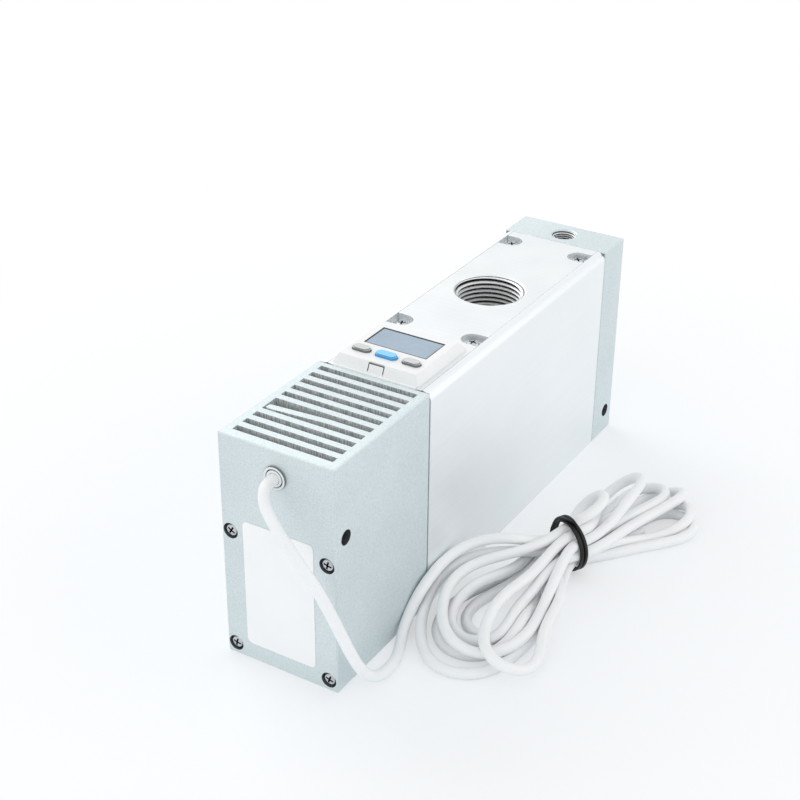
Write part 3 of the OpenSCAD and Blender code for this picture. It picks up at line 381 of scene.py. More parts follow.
# The six diffusers, three in each row: injection moulded in natural acetal and held in the core by their O-rings.
# The plastic looks waxy, with the melt's swirls 7 mm across.
acetal, tree = finish("moulded_acetal")
where = add(tree, "ShaderNodeTexCoord").outputs["Object"]
swirl = add(tree, "ShaderNodeTexNoise", {"Vector": where, "Scale": 140.0, "Detail": 3.0, "Distortion": 0.8})
tone = add(tree, "ShaderNodeMix", {"Factor": swirl.outputs["Fac"], "A": linear("D5D0BF"), "B": linear("E3DFD1")},
           data_type="RGBA")
skin = add(tree, "ShaderNodeBsdfPrincipled", {"Base Color": tone.outputs["Result"], "Roughness": 0.36, "IOR": 1.48})
add(tree, "ShaderNodeOutputMaterial", {"Surface": skin.outputs["BSDF"]})
wear(acetal, "first_diffuser_lower", "first_diffuser_upper", "second_diffuser_lower", "second_diffuser_upper",
     "third_diffuser_lower", "third_diffuser_upper")


# O-rings, flap valves and the sensor's seal: black nitrile rubber, cured in a mould and stretched or clamped in
# place. It is matt, with a faint bloom in patches of 2 mm.
nitrile, tree = finish("nitrile_rubber")
where = add(tree, "ShaderNodeTexCoord").outputs["Object"]
bloom = add(tree, "ShaderNodeTexNoise", {"Vector": where, "Scale": 450.0, "Detail": 4.0})
tone = add(tree, "ShaderNodeMix", {"Factor": bloom.outputs["Fac"], "A": linear("191A1B"), "B": linear("2B2D2E")},
           data_type="RGBA")
skin = add(tree, "ShaderNodeBsdfPrincipled", {"Base Color": tone.outputs["Result"], "Roughness": 0.62, "IOR": 1.52})
add(tree, "ShaderNodeOutputMaterial", {"Surface": skin.outputs["BSDF"]})
wear(nitrile, "nozzle_seals", "diffuser_seals", "sensor_seal", "first_check_valve", "second_check_valve")


# Sheet gaskets under the cover, behind both end blocks and round the switch: grey compressed fibre and rubber,
# stamped from sheet and pressed by the screws. They show only as a thin darker line where two parts meet, and the
# fibres' flecks are drawn at 0.7 mm.
fibre, tree = finish("fibre_gasket")
where = add(tree, "ShaderNodeTexCoord").outputs["Object"]
felted = add(tree, "ShaderNodeTexNoise", {"Vector": where, "Scale": 1500.0, "Detail": 3.0})
tone = add(tree, "ShaderNodeMix", {"Factor": felted.outputs["Fac"], "A": linear("6A6F73"), "B": linear("8C9195")},
           data_type="RGBA")
skin = add(tree, "ShaderNodeBsdfPrincipled", {"Base Color": tone.outputs["Result"], "Roughness": 0.8, "IOR": 1.5})
add(tree, "ShaderNodeOutputMaterial", {"Surface": skin.outputs["BSDF"]})
wear(fibre, "cover_gasket", "switch_gasket")


# The housing: one aluminium extrusion, cut square at both ends, with rounded upper corners and a clear anodised
# finish. It stands between the two end blocks, whose long screws clamp it.
def softened(name, nodes, material, edge, fine=0.3):
    """CAD nodes copied as one closed mesh with rounded edges: the outer box's edges by edge, the rest by fine times
    that, in millimetres."""
    pieces = []
    for node in nodes:
        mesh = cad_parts[node].data.copy()
        loose = bmesh.new()
        loose.from_mesh(mesh)
        bmesh.ops.remove_doubles(loose, verts=loose.verts, dist=1e-6)
        loose.to_mesh(mesh)
        loose.free()
        made = bpy.data.objects.new(name, mesh)
        bpy.context.collection.objects.link(made)
        pieces.append(made)
    made = pieces[0]
    for other in pieces[1:]:
        join = made.modifiers.new("join", "BOOLEAN")
        join.operation, join.solver, join.object = "UNION", "EXACT", other
        whole = bpy.data.meshes.new_from_object(made.evaluated_get(bpy.context.evaluated_depsgraph_get()))
        made.modifiers.clear()
        made.data = whole
        bpy.data.objects.remove(other)
    solid = bmesh.new()
    solid.from_mesh(made.data)
    bmesh.ops.remove_doubles(solid, verts=solid.verts, dist=2e-6)
    nearly_flat, sharp = 0.009, 0.5
    bmesh.ops.dissolve_limit(solid, angle_limit=nearly_flat, verts=solid.verts, edges=solid.edges)
    corners = np.array([v.co for v in solid.verts])
    low, high = corners.min(0), corners.max(0)
    weight = solid.edges.layers.float.new("bevel_weight_edge")
    for one in solid.edges:
        if len(one.link_faces) == 2 and one.calc_face_angle() > sharp:
            ends = np.array([one.verts[0].co, one.verts[1].co])
            on = (np.abs(ends - low) < 1e-5) | (np.abs(ends - high) < 1e-5)
            one[weight] = 1.0 if (on[0] & on[1]).sum() > 1 else fine
    for face in solid.faces:
        face.smooth = True
    solid.to_mesh(made.data)
    solid.free()
    made.data.materials.clear()
    made.data.materials.append(material)
    made.name = name
    round_off = made.modifiers.new("rounded edges", "BEVEL")
    round_off.width, round_off.segments, round_off.limit_method = edge * MM, 2, "WEIGHT"
    round_off.use_clamp_overlap = True
    round_off.material = 0
    flat = made.modifiers.new("flat faces stay flat", "WEIGHTED_NORMAL")
    flat.mode, flat.weight, flat.keep_sharp = "FACE_AREA", 90, False
    return made


# The anodised skin is pale and satin, and the die leaves straight lines along the length, drawn 0.8 mm wide and
# about 110 mm long; the film's thickness drifts over 40 mm.
extruded, tree = finish("clear_anodised_extrusion")
where = add(tree, "ShaderNodeTexCoord").outputs["Object"]
drawn = add(tree, "ShaderNodeMapping", {"Vector": where, "Scale": (1200.0, 9.0, 1200.0)})
lines = add(tree, "ShaderNodeTexNoise", {"Vector": drawn.outputs["Vector"], "Scale": 1.0, "Detail": 3.0})
patch = add(tree, "ShaderNodeTexNoise", {"Vector": where, "Scale": 25.0, "Detail": 3.0})
both = add(tree, "ShaderNodeMath", {0: lines.outputs["Fac"], 1: patch.outputs["Fac"]}, operation="ADD")
share = add(tree, "ShaderNodeMath", {0: both.outputs["Value"], 1: 0.5}, operation="MULTIPLY")
tone = add(tree, "ShaderNodeMix", {"Factor": share.outputs["Value"], "A": linear("E6EBEE"), "B": linear("F5F8F9")},
           data_type="RGBA")
dull = add(tree, "ShaderNodeMapRange", {"Value": lines.outputs["Fac"], "To Min": 0.36, "To Max": 0.50})
relief = add(tree, "ShaderNodeBump", {"Height": lines.outputs["Fac"], "Strength": 0.06, "Distance": 0.0001})
skin = add(tree, "ShaderNodeBsdfPrincipled", {
    "Base Color": tone.outputs["Result"], "Metallic": 0.85, "Roughness": dull.outputs["Result"],
    "Normal": relief.outputs["Normal"]})
add(tree, "ShaderNodeOutputMaterial", {"Surface": skin.outputs["BSDF"]})
housing = softened("housing", ["body_housing"], extruded, 0.35, 0.6)
keep(housing, "root", ["body_housing"])
# The gaskets of both end blocks swell up to the top of their seams where they are pressed.
sheet_top, seam_top = 0.0829, 0.0866
for name, node in (("near_seam", "exhaust_gasket"), ("far_seam", "supply_gasket")):
    seam = softened(name, [node], fibre, 0.05, 1.0)
    for corner in seam.data.vertices:
        if corner.co.z > sheet_top:
            corner.co.z = seam_top
    keep(seam, "root", [node])


# The suction filter: a pad of needled polyester felt, stamped out and laid between its bars under the vacuum port.
# Its fibres are 0.02 mm thick and are drawn as tufts of 1.1 mm.
felt, tree = finish("polyester_felt")
where = add(tree, "ShaderNodeTexCoord").outputs["Object"]
hairs = add(tree, "ShaderNodeTexNoise", {"Vector": where, "Scale": 900.0, "Detail": 6.0, "Distortion": 2.0})
tone = add(tree, "ShaderNodeMix", {"Factor": hairs.outputs["Fac"], "A": linear("B9BAB4"), "B": linear("EDEDE8")},
           data_type="RGBA")
relief = add(tree, "ShaderNodeBump", {"Height": hairs.outputs["Fac"], "Strength": 0.7, "Distance": 0.0004})
skin = add(tree, "ShaderNodeBsdfPrincipled", {
    "Base Color": tone.outputs["Result"], "Roughness": 0.95, "Normal": relief.outputs["Normal"],
    "Sheen Weight": 0.3})
add(tree, "ShaderNodeOutputMaterial", {"Surface": skin.outputs["BSDF"]})
wear(felt, "suction_filter")


# The top cover: an aluminium plate milled to lie between the housing's walls, with a boss behind it for the large
# port, and held by four screws. It is anodised with the housing and a little smoother, with the mill's faint bands
# 3 mm apart across it and drifts of tone over 17 mm.
milled, tree = finish("milled_anodised_plate")
where = add(tree, "ShaderNodeTexCoord").outputs["Object"]
bands = add(tree, "ShaderNodeTexWave", {"Vector": where, "Scale": 110.0, "Distortion": 1.5, "Detail": 2.0},
            wave_type="BANDS", bands_direction="Y")
patch = add(tree, "ShaderNodeTexNoise", {"Vector": where, "Scale": 60.0, "Detail": 4.0})
both = add(tree, "ShaderNodeMix", {"Factor": 0.9, "A": bands.outputs["Fac"], "B": patch.outputs["Fac"]},
           data_type="FLOAT")
tone = add(tree, "ShaderNodeMix", {"Factor": both.outputs["Result"], "A": linear("E4E8EA"), "B": linear("F1F4F5")},
           data_type="RGBA")
dull = add(tree, "ShaderNodeMapRange", {"Value": both.outputs["Result"], "To Min": 0.34, "To Max": 0.46})
skin = add(tree, "ShaderNodeBsdfPrincipled", {
    "Base Color": tone.outputs["Result"], "Metallic": 0.85, "Roughness": dull.outputs["Result"]})
add(tree, "ShaderNodeOutputMaterial", {"Surface": skin.outputs["BSDF"]})
cover = softened("cover", ["top_cover"], milled, 0.25, 0.6)
keep(cover, "root", ["top_cover"])
# The cover gasket's lip stands in the joint along both walls, except beside the screw recesses.
cover_low, cover_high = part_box("top_cover")
low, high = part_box("cover_screws")
head_half, recess_half = 2.75 * MM, 4.3 * MM
ends = [cover_low.y, *[y + way * recess_half for y in (low.y + head_half, high.y - head_half) for way in (-1, 1)],
        cover_high.y]
lip_section = ((-0.3, 0.6), (0.35, 0.6), (0.35, 0.03), (-0.3, 0.03))    # past the cover's edge, below its face
points, faces = [], []
for side in (-1, 1):
    for start, end in zip(ends[::2], ends[1::2]):
        rings = [[(side * (cover_high.x + x * MM), y, cover_high.z - z * MM) for x, z in lip_section]
                 for y in (start, end)]
        more, skins = sweep(rings)
        faces += [tuple(len(points) + k for k in one) for one in skins]
        points += more
joint = mesh_piece("cover_joint", points, faces, fibre)
keep(joint, "root")


# The vacuum port's thread: a 3/4 inch pipe thread of 14 turns to the inch, tapped down through the aluminium cover
# and the boss below it after the anodising.
def grown(name, inputs, build, material, seat=None):
    """Run a Geometry Nodes tree with named sizes on the seat's points and keep the plain mesh that it makes."""
    tree = bpy.data.node_groups.new(name, "GeometryNodeTree")
    tree.interface.new_socket("Seat", in_out="INPUT", socket_type="NodeSocketGeometry")
    sockets = {}
    for label, value in inputs.items():
        kind = "NodeSocketInt" if isinstance(value, int) else "NodeSocketFloat"
        sockets[label] = tree.interface.new_socket(label, in_out="INPUT", socket_type=kind)
    tree.interface.new_socket("Piece", in_out="OUTPUT", socket_type="NodeSocketGeometry")
    given = add(tree, "NodeGroupInput").outputs
    shape = build(tree, given)
    plain = add(tree, "GeometryNodeRealizeInstances", {"Geometry": shape})
    dressed = add(tree, "GeometryNodeSetMaterial", {"Geometry": plain.outputs[0], "Material": material})
    add(tree, "NodeGroupOutput", {"Piece": dressed.outputs[0]})
    mesh = bpy.data.meshes.new(name)
    mesh.from_pydata(seat or [(0, 0, 0)], [], [])
    made = bpy.data.objects.new(name, mesh)
    bpy.context.collection.objects.link(made)
    run = made.modifiers.new(name, "NODES")
    run.node_group = tree
    for label, value in inputs.items():
        run[sockets[label].identifier] = value
    plain_mesh = bpy.data.meshes.new_from_object(made.evaluated_get(bpy.context.evaluated_depsgraph_get()))
    made.modifiers.clear()
    made.data = plain_mesh
    plain_mesh.materials.clear()
    plain_mesh.materials.append(material)
    plain_mesh.shade_smooth()
    plain_mesh.set_sharp_from_angle(angle=0.6)
    return made


def thread_ridge(tree, given):
    """One helical ridge that stands inwards from a bore: its flat crest is an eighth of the pitch."""
    turns_made = add(tree, "ShaderNodeMath", {0: given["Length"], 1: given["Pitch"]}, operation="DIVIDE").outputs[0]
    coil = add(tree, "GeometryNodeCurveSpiral", {
        "Resolution": 64, "Rotations": turns_made, "Start Radius": given["Bore"], "End Radius": given["Bore"],
        "Height": given["Length"], "Reverse": True})
    upright = add(tree, "GeometryNodeSetCurveNormal", {"Curve": coil.outputs[0]}, mode="Z_UP")
    # the ridge grows out of the bore at its start and runs out at its end
    along = add(tree, "GeometryNodeSplineParameter").outputs["Factor"]
    rise_in = add(tree, "ShaderNodeMapRange", {"Value": along, "From Min": 0.0, "From Max": 0.04}).outputs["Result"]
    fall = add(tree, "ShaderNodeMapRange", {"Value": along, "From Min": 1.0, "From Max": 0.94}).outputs["Result"]
    size = add(tree, "ShaderNodeMath", {0: rise_in, 1: fall}, operation="MINIMUM").outputs[0]
    # its section is a trapezium, seated with its foot in the bore's wall
    foot = add(tree, "ShaderNodeMath", {0: given["Pitch"], 1: 0.94}, operation="MULTIPLY").outputs[0]
    crest = add(tree, "ShaderNodeMath", {0: given["Pitch"], 1: 0.125}, operation="MULTIPLY").outputs[0]
    ridge = add(tree, "GeometryNodeCurvePrimitiveQuadrilateral", {
        "Bottom Width": foot, "Top Width": crest, "Height": given["Depth"], "Offset": 0.0}, mode="TRAPEZOID")
    half = add(tree, "ShaderNodeMath", {0: given["Depth"], 1: 0.5}, operation="MULTIPLY").outputs[0]
    lift = add(tree, "ShaderNodeCombineXYZ", {"Y": half})
    seated = add(tree, "GeometryNodeTransform", {"Geometry": ridge.outputs[0], "Translation": lift.outputs[0]})
    # the material reads how near the crest each point is, and paints the roots dark as painted shade
    height = add(tree, "ShaderNodeSeparateXYZ", {"Vector": add(tree, "GeometryNodeInputPosition").outputs[0]})
    share = add(tree, "ShaderNodeMath", {0: height.outputs["Y"], 1: given["Depth"]}, operation="DIVIDE").outputs[0]
    seated = add(tree, "GeometryNodeStoreNamedAttribute", {
        "Geometry": seated.outputs[0], "Name": "crest", "Value": share}, data_type="FLOAT", domain="POINT")
    inward = add(tree, "GeometryNodeTransform", {"Geometry": seated.outputs[0], "Rotation": (0.0, 0.0, np.pi / 2)})
    body = add(tree, "GeometryNodeCurveToMesh", {
        "Curve": upright.outputs[0], "Profile Curve": inward.outputs[0], "Scale": size, "Fill Caps": True})
    placed = add(tree, "GeometryNodeInstanceOnPoints", {"Points": given["Seat"], "Instance": body.outputs[0]})
    return placed.outputs[0]


def drilled(obj, material, *holes):
    """Give the faces inside round holes their own material. A hole is its axis 0, 1 or 2, two places across it, its
    radius and its range along it."""
    obj.data.materials.append(material)
    for face in obj.data.polygons:
        for axis, across, radius, (start, end) in holes:
            off = [face.center[k] for k in range(3) if k != axis]
            if np.hypot(off[0] - across[0], off[1] - across[1]) < radius and start < face.center[axis] < end:
                face.material_index = len(obj.data.materials) - 1


# A tapped thread in bare aluminium: the crests keep the metal's bright tone, and the roots are painted near black,
# as painted shade under the ridge above. The tap's tears are finer than shown here, at 0.8 mm.
tapped, tree = finish("tapped_thread")
where = add(tree, "ShaderNodeTexCoord").outputs["Object"]
crest = add(tree, "ShaderNodeAttribute", attribute_name="crest")
tear = add(tree, "ShaderNodeTexNoise", {"Vector": where, "Scale": 1300.0, "Detail": 3.0})
rough = add(tree, "ShaderNodeMath", {0: tear.outputs["Fac"], 1: 0.3, 2: -0.15}, operation="MULTIPLY_ADD")
# crest height plus the tears; where this sum is low, the root is painted dark as painted shade
film = add(tree, "ShaderNodeMath", {0: crest.outputs["Fac"], 1: rough.outputs[0]}, operation="ADD")
painted_shade_by_crest = add(tree, "ShaderNodeMapRange", {"Value": film.outputs[0], "From Min": 0.2, "From Max": 0.58})
tone = add(tree, "ShaderNodeMix", {"Factor": painted_shade_by_crest.outputs["Result"], "A": linear("0F1214"), "B": linear("F4F6F7")},
           data_type="RGBA")
skin = add(tree, "ShaderNodeBsdfPrincipled", {"Base Color": tone.outputs["Result"], "Metallic": 0.4,
                                              "Roughness": 0.35})
add(tree, "ShaderNodeOutputMaterial", {"Surface": skin.outputs["BSDF"]})
port_low, port_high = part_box("vacuum_sleeve")
port_y = (port_low.y + port_high.y) / 2
port_bore, under_plate, under_chamfer = 13.25 * MM, 81.2 * MM, 86.6 * MM
thread = grown("vacuum_thread", {"Bore": port_bore, "Depth": 1.18 * MM, "Pitch": 1.814 * MM,
                                 "Length": cover_high.z - port_low.z - 0.4 * MM}, thread_ridge, tapped,
               [(0.0, port_y, port_low.z + 0.1 * MM)])
keep(thread, "root")
# The sleeve's bore and the cover's hole carry no crest height, so they take the thread's painted root shade all over.
wear(tapped, "vacuum_sleeve")
drilled(cover, tapped, (2, (0.0, port_y), port_bore + 0.15 * MM, (under_plate, under_chamfer)))


# The silencer: grey open-cell polyurethane foam, cut from block to fill the exhaust case and lie under its slots.
# Its walls catch the light round dark pores, and the cells are drawn at 1.4 mm, three times their real size.
foam, tree = finish("open_cell_foam")
where = add(tree, "ShaderNodeTexCoord").outputs["Object"]
cells = add(tree, "ShaderNodeTexVoronoi", {"Vector": where, "Scale": 700.0}, feature="DISTANCE_TO_EDGE")
tone = add(tree, "ShaderNodeMapRange", {"Value": cells.outputs["Distance"], "From Max": 0.25})
shade = add(tree, "ShaderNodeMix", {"Factor": tone.outputs["Result"], "A": linear("A5A9AC"), "B": linear("55585B")},
            data_type="RGBA")
relief = add(tree, "ShaderNodeBump", {"Height": cells.outputs["Distance"], "Strength": 0.8, "Distance": 0.0005},
             invert=True)
skin = add(tree, "ShaderNodeBsdfPrincipled", {"Base Color": shade.outputs["Result"], "Roughness": 0.95,
                                              "Normal": relief.outputs["Normal"]})
add(tree, "ShaderNodeOutputMaterial", {"Surface": skin.outputs["BSDF"]})
wear(foam, "silencer_foam", "grille_foam")


# The exhaust case and the supply block: aluminium milled from bar, glass-bead blasted, clear anodised and screwed to
# the housing's ends. Ten slots let the air out of the case, and the fin between the fourth and fifth slots is torn
# off at one end and bent.
# The beads leave an even, fine, sparkling grain on every face. Their dimples of about 0.1 mm are too fine to show, so
# the grain is drawn at 0.6 mm, with a slow drift of tone over 33 mm.
blasted, tree = finish("bead_blasted_aluminium")
where = add(tree, "ShaderNodeTexCoord").outputs["Object"]
beads = add(tree, "ShaderNodeTexNoise", {"Vector": where, "Scale": 1800.0, "Detail": 3.0, "Roughness": 0.7})
patch = add(tree, "ShaderNodeTexNoise", {"Vector": where, "Scale": 30.0, "Detail": 2.0})
both = add(tree, "ShaderNodeMix", {"Factor": 0.25, "A": beads.outputs["Fac"], "B": patch.outputs["Fac"]},
           data_type="FLOAT")
spread = add(tree, "ShaderNodeMapRange", {"Value": both.outputs["Result"], "From Min": 0.3, "From Max": 0.7})
tone = add(tree, "ShaderNodeMix", {"Factor": spread.outputs["Result"], "A": linear("C6D2D5"), "B": linear("E3EBED")},
           data_type="RGBA")
dull = add(tree, "ShaderNodeMapRange", {"Value": beads.outputs["Fac"], "To Min": 0.48, "To Max": 0.66})
relief = add(tree, "ShaderNodeBump", {"Height": beads.outputs["Fac"], "Strength": 0.25, "Distance": 0.0001})
skin = add(tree, "ShaderNodeBsdfPrincipled", {
    "Base Color": tone.outputs["Result"], "Metallic": 0.75, "Roughness": dull.outputs["Result"],
    "Normal": relief.outputs["Normal"]})
add(tree, "ShaderNodeOutputMaterial", {"Surface": skin.outputs["BSDF"]})
case = softened("case", ["case_front", "exhaust_case"], blasted, 0.7, 0.25)
keep(case, "root", ["case_front", "exhaust_case"])
# The slots are milled after the blasting, so their walls are plainer and carry the cutter's upright marks, drawn
# 0.5 mm wide and 3 mm high.
sawn, tree = finish("milled_slot_wall")
where = add(tree, "ShaderNodeTexCoord").outputs["Object"]
upright = add(tree, "ShaderNodeMapping", {"Vector": where, "Scale": (2000.0, 2000.0, 350.0)})
marks = add(tree, "ShaderNodeTexNoise", {"Vector": upright.outputs["Vector"], "Scale": 1.0, "Detail": 3.0})
marks = add(tree, "ShaderNodeMapRange", {"Value": marks.outputs["Fac"], "From Min": 0.35, "From Max": 0.65})
tone = add(tree, "ShaderNodeMix", {"Factor": marks.outputs["Result"], "A": linear("A1A7A8"), "B": linear("DFE2E2")},
           data_type="RGBA")
skin = add(tree, "ShaderNodeBsdfPrincipled", {"Base Color": tone.outputs["Result"], "Metallic": 0.1,
                                              "Roughness": 0.6})
add(tree, "ShaderNodeOutputMaterial", {"Surface": skin.outputs["BSDF"]})
case.data.materials.append(sawn)
slot_half, slots_from, slots_to, grille_under = 0.0196, -0.103, -0.051, 0.08
for face in case.data.polygons:
    spot = face.center
    inside = abs(spot.x) < slot_half and slots_from < spot.y < slots_to and spot.z > grille_under
    if inside and abs(face.normal.z) < 0.3:
        face.material_index = 1
supply = softened("supply", ["supply_block"], blasted, 0.6, 0.3)
keep(supply, "root", ["supply_block"])
# The holes are drilled after the blasting and the anodising, so they are bare and scored inside. Their dark tone is
# painted shade for the shadow deep in the holes and counterbores. The scores are drawn at 0.8 mm.
bare_with_painted_shade, tree = finish("drilled_aluminium_painted_shade")
where = add(tree, "ShaderNodeTexCoord").outputs["Object"]
score = add(tree, "ShaderNodeTexNoise", {"Vector": where, "Scale": 1200.0, "Detail": 4.0})
tone = add(tree, "ShaderNodeMix", {"Factor": score.outputs["Fac"], "A": linear("3F464A"), "B": linear("8F979B")},
           data_type="RGBA")
skin = add(tree, "ShaderNodeBsdfPrincipled", {"Base Color": tone.outputs["Result"], "Metallic": 0.7,
                                              "Roughness": 0.5})
add(tree, "ShaderNodeOutputMaterial", {"Surface": skin.outputs["BSDF"]})
screw_low, screw_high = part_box("case_screws")
across = [(x, z) for x in (screw_low.x + head_half, screw_high.x - head_half)
          for z in (screw_low.z + head_half, screw_high.z - head_half)]
case_cross, supply_cross, supply_port_y = (-0.1, 0.059), (0.1, 0.01), 0.0968
cross_r, counterbore_r, supply_bore_r, through_x = 2.9 * MM, 3.0 * MM, 5.1 * MM, (-0.0222, 0.0222)
drilled(case, bare_with_painted_shade, (0, case_cross, cross_r, through_x),
        *[(1, at, counterbore_r, (-0.1058, -0.1)) for at in across])
drilled(supply, bare_with_painted_shade, (0, supply_cross, cross_r, through_x),
        *[(1, at, counterbore_r, (0.1, 0.1058)) for at in across],
        (2, (0.0, supply_port_y), supply_bore_r, (0.06, under_chamfer)))


# The supply port's thread: a 1/8 inch pipe thread of 28 turns to the inch, tapped straight into the aluminium block
# and bright like the large one.
supply_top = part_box("supply_block")[1].z
supply_thread = grown("supply_thread", {"Bore": 4.9 * MM, "Depth": 0.62 * MM, "Pitch": 0.907 * MM,
                                        "Length": 11.4 * MM}, thread_ridge, tapped,
                      [(0.0, supply_port_y, supply_top - 11.8 * MM)])
keep(supply_thread, "root")


# Twelve M3 pan head screws, cold headed in steel and zinc plated, with a cross recess: four hold each end block and
# four the cover. They sit in counterbores, each turned as the driver left it.
def pan_head_screw(tree, given):
    """A pan head with its cross and a plain shank, set on every point of the seat. Tilt turns all of them about x."""
    head = add(tree, "GeometryNodeMeshCylinder", {
        "Vertices": 40, "Side Segments": 6, "Fill Segments": 5, "Radius": given["Head Radius"],
        "Depth": given["Head Height"]})
    # the cylinder's side curls in towards its top, and the top is domed
    spot = add(tree, "ShaderNodeSeparateXYZ", {"Vector": add(tree, "GeometryNodeInputPosition").outputs[0]})
    up = add(tree, "ShaderNodeMath", {0: spot.outputs["Z"], 1: given["Head Height"]}, operation="DIVIDE").outputs[0]
    up = add(tree, "ShaderNodeMath", {0: up, 1: 0.5}, operation="ADD").outputs[0]
    curl = add(tree, "ShaderNodeMath", {0: up, 1: 4.0}, operation="POWER").outputs[0]
    shrink = add(tree, "ShaderNodeMath", {0: curl, 1: -0.22, 2: 1.0}, operation="MULTIPLY_ADD").outputs[0]
    x = add(tree, "ShaderNodeMath", {0: spot.outputs["X"], 1: shrink}, operation="MULTIPLY").outputs[0]
    y = add(tree, "ShaderNodeMath", {0: spot.outputs["Y"], 1: shrink}, operation="MULTIPLY").outputs[0]
    flat = add(tree, "ShaderNodeCombineXYZ", {"X": x, "Y": y}).outputs[0]
    out = add(tree, "ShaderNodeVectorMath", {0: flat}, operation="LENGTH").outputs["Value"]
    out = add(tree, "ShaderNodeMath", {0: out, 1: given["Head Radius"]}, operation="DIVIDE").outputs[0]
    out = add(tree, "ShaderNodeMath", {0: out, 1: 2.0}, operation="POWER").outputs[0]
    dome = add(tree, "ShaderNodeMath", {0: out, 1: -0.22, 2: 1.0}, operation="MULTIPLY_ADD").outputs[0]
    high = add(tree, "ShaderNodeMath", {0: up, 1: dome}, operation="MULTIPLY").outputs[0]
    z = add(tree, "ShaderNodeMath", {0: high, 1: given["Head Height"]}, operation="MULTIPLY").outputs[0]
    moved = add(tree, "ShaderNodeCombineXYZ", {"X": x, "Y": y, "Z": z}).outputs[0]
    shaped = add(tree, "GeometryNodeSetPosition", {"Geometry": head.outputs["Mesh"], "Position": moved})
    # two bars cut the cross, and the faces they leave are marked for the material's painted shade
    long = add(tree, "ShaderNodeMath", {0: given["Head Radius"], 1: 1.2}, operation="MULTIPLY").outputs[0]
    wide = add(tree, "ShaderNodeMath", {0: given["Head Radius"], 1: 0.27}, operation="MULTIPLY").outputs[0]
    deep = add(tree, "ShaderNodeMath", {0: given["Head Height"], 1: 1.3}, operation="MULTIPLY").outputs[0]
    lift = add(tree, "ShaderNodeMath", {0: given["Head Height"], 1: 1.1}, operation="MULTIPLY").outputs[0]
    at = add(tree, "ShaderNodeCombineXYZ", {"Z": lift}).outputs[0]
    arms = []
    for a, b in ((long, wide), (wide, long)):
        size = add(tree, "ShaderNodeCombineXYZ", {"X": a, "Y": b, "Z": deep}).outputs[0]
        arm = add(tree, "GeometryNodeMeshCube", {"Size": size})
        arms.append(add(tree, "GeometryNodeTransform", {"Geometry": arm.outputs["Mesh"], "Translation": at}).outputs[0])
    cut = add(tree, "GeometryNodeMeshBoolean", {"Mesh 1": shaped.outputs[0]}, operation="DIFFERENCE", solver="EXACT")
    for arm in arms:
        tree.links.new(arm, cut.inputs["Mesh 2"])
    spot = add(tree, "ShaderNodeSeparateXYZ", {"Vector": add(tree, "GeometryNodeInputPosition").outputs[0]})
    flat = add(tree, "ShaderNodeCombineXYZ", {"X": spot.outputs["X"], "Y": spot.outputs["Y"]}).outputs[0]
    out = add(tree, "ShaderNodeVectorMath", {0: flat}, operation="LENGTH").outputs["Value"]
    reach = add(tree, "ShaderNodeMath", {0: given["Head Radius"], 1: 0.68}, operation="MULTIPLY").outputs[0]
    low = add(tree, "ShaderNodeMath", {0: given["Head Height"], 1: 0.82}, operation="MULTIPLY").outputs[0]
    inner = add(tree, "ShaderNodeMath", {0: out, 1: reach}, operation="LESS_THAN").outputs[0]
    sunk = add(tree, "ShaderNodeMath", {0: spot.outputs["Z"], 1: low}, operation="LESS_THAN").outputs[0]
    cross = add(tree, "ShaderNodeMath", {0: inner, 1: sunk}, operation="MULTIPLY").outputs[0]
    marked = add(tree, "GeometryNodeStoreNamedAttribute", {
        "Geometry": cut.outputs[0], "Name": "recess", "Value": cross}, data_type="FLOAT", domain="FACE")
    shank = add(tree, "GeometryNodeMeshCylinder", {
        "Vertices": 20, "Radius": given["Shank Radius"], "Depth": given["Shank Length"]})
    half = add(tree, "ShaderNodeMath", {0: given["Shank Length"], 1: -0.5}, operation="MULTIPLY").outputs[0]
    below = add(tree, "GeometryNodeTransform", {
        "Geometry": shank.outputs["Mesh"], "Translation": add(tree, "ShaderNodeCombineXYZ", {"Z": half}).outputs[0]})
    whole = add(tree, "GeometryNodeJoinGeometry")
    for part in (below.outputs[0], marked.outputs[0]):
        tree.links.new(part, whole.inputs[0])
    spin = add(tree, "FunctionNodeRandomValue", {"Max": 1.5, "Seed": given["Seed"]}, data_type="FLOAT")
    own = add(tree, "ShaderNodeCombineXYZ", {"Z": spin.outputs[1]})
    lean = add(tree, "ShaderNodeCombineXYZ", {"X": given["Tilt"]})
    spun = add(tree, "FunctionNodeRotateRotation", {"Rotation": lean.outputs[0], "Rotate By": own.outputs[0]},
               rotation_space="LOCAL")
    placed = add(tree, "GeometryNodeInstanceOnPoints", {
        "Points": given["Seat"], "Instance": whole.outputs[0], "Rotation": spun.outputs[0]})
    return placed.outputs[0]


# Clear zinc plating is bright and cool, clouded by handling in patches of 1.1 mm. The cross recess is painted near
# black, as painted shade deep in the recess.
steel, tree = finish("zinc_plated_steel")
where = add(tree, "ShaderNodeTexCoord").outputs["Object"]
wear_marks = add(tree, "ShaderNodeTexNoise", {"Vector": where, "Scale": 900.0, "Detail": 4.0})
tone = add(tree, "ShaderNodeMix", {"Factor": wear_marks.outputs["Fac"], "A": linear("AEB3B6"), "B": linear("D6D9DB")},
           data_type="RGBA")
painted_recess_shade = add(tree, "ShaderNodeAttribute", attribute_name="recess")
tone = add(tree, "ShaderNodeMix", {"Factor": painted_recess_shade.outputs["Fac"], "A": tone.outputs["Result"],
                                   "B": linear("15181A")}, data_type="RGBA")
dull = add(tree, "ShaderNodeMapRange", {"Value": wear_marks.outputs["Fac"], "To Min": 0.2, "To Max": 0.4})
skin = add(tree, "ShaderNodeBsdfPrincipled", {
    "Base Color": tone.outputs["Result"], "Metallic": 1.0, "Roughness": dull.outputs["Result"]})
add(tree, "ShaderNodeOutputMaterial", {"Surface": skin.outputs["BSDF"]})
wear(steel, "retainer_screws")
head_r, head_h, quarter_turn = 2.5 * MM, 1.7 * MM, 1.5708
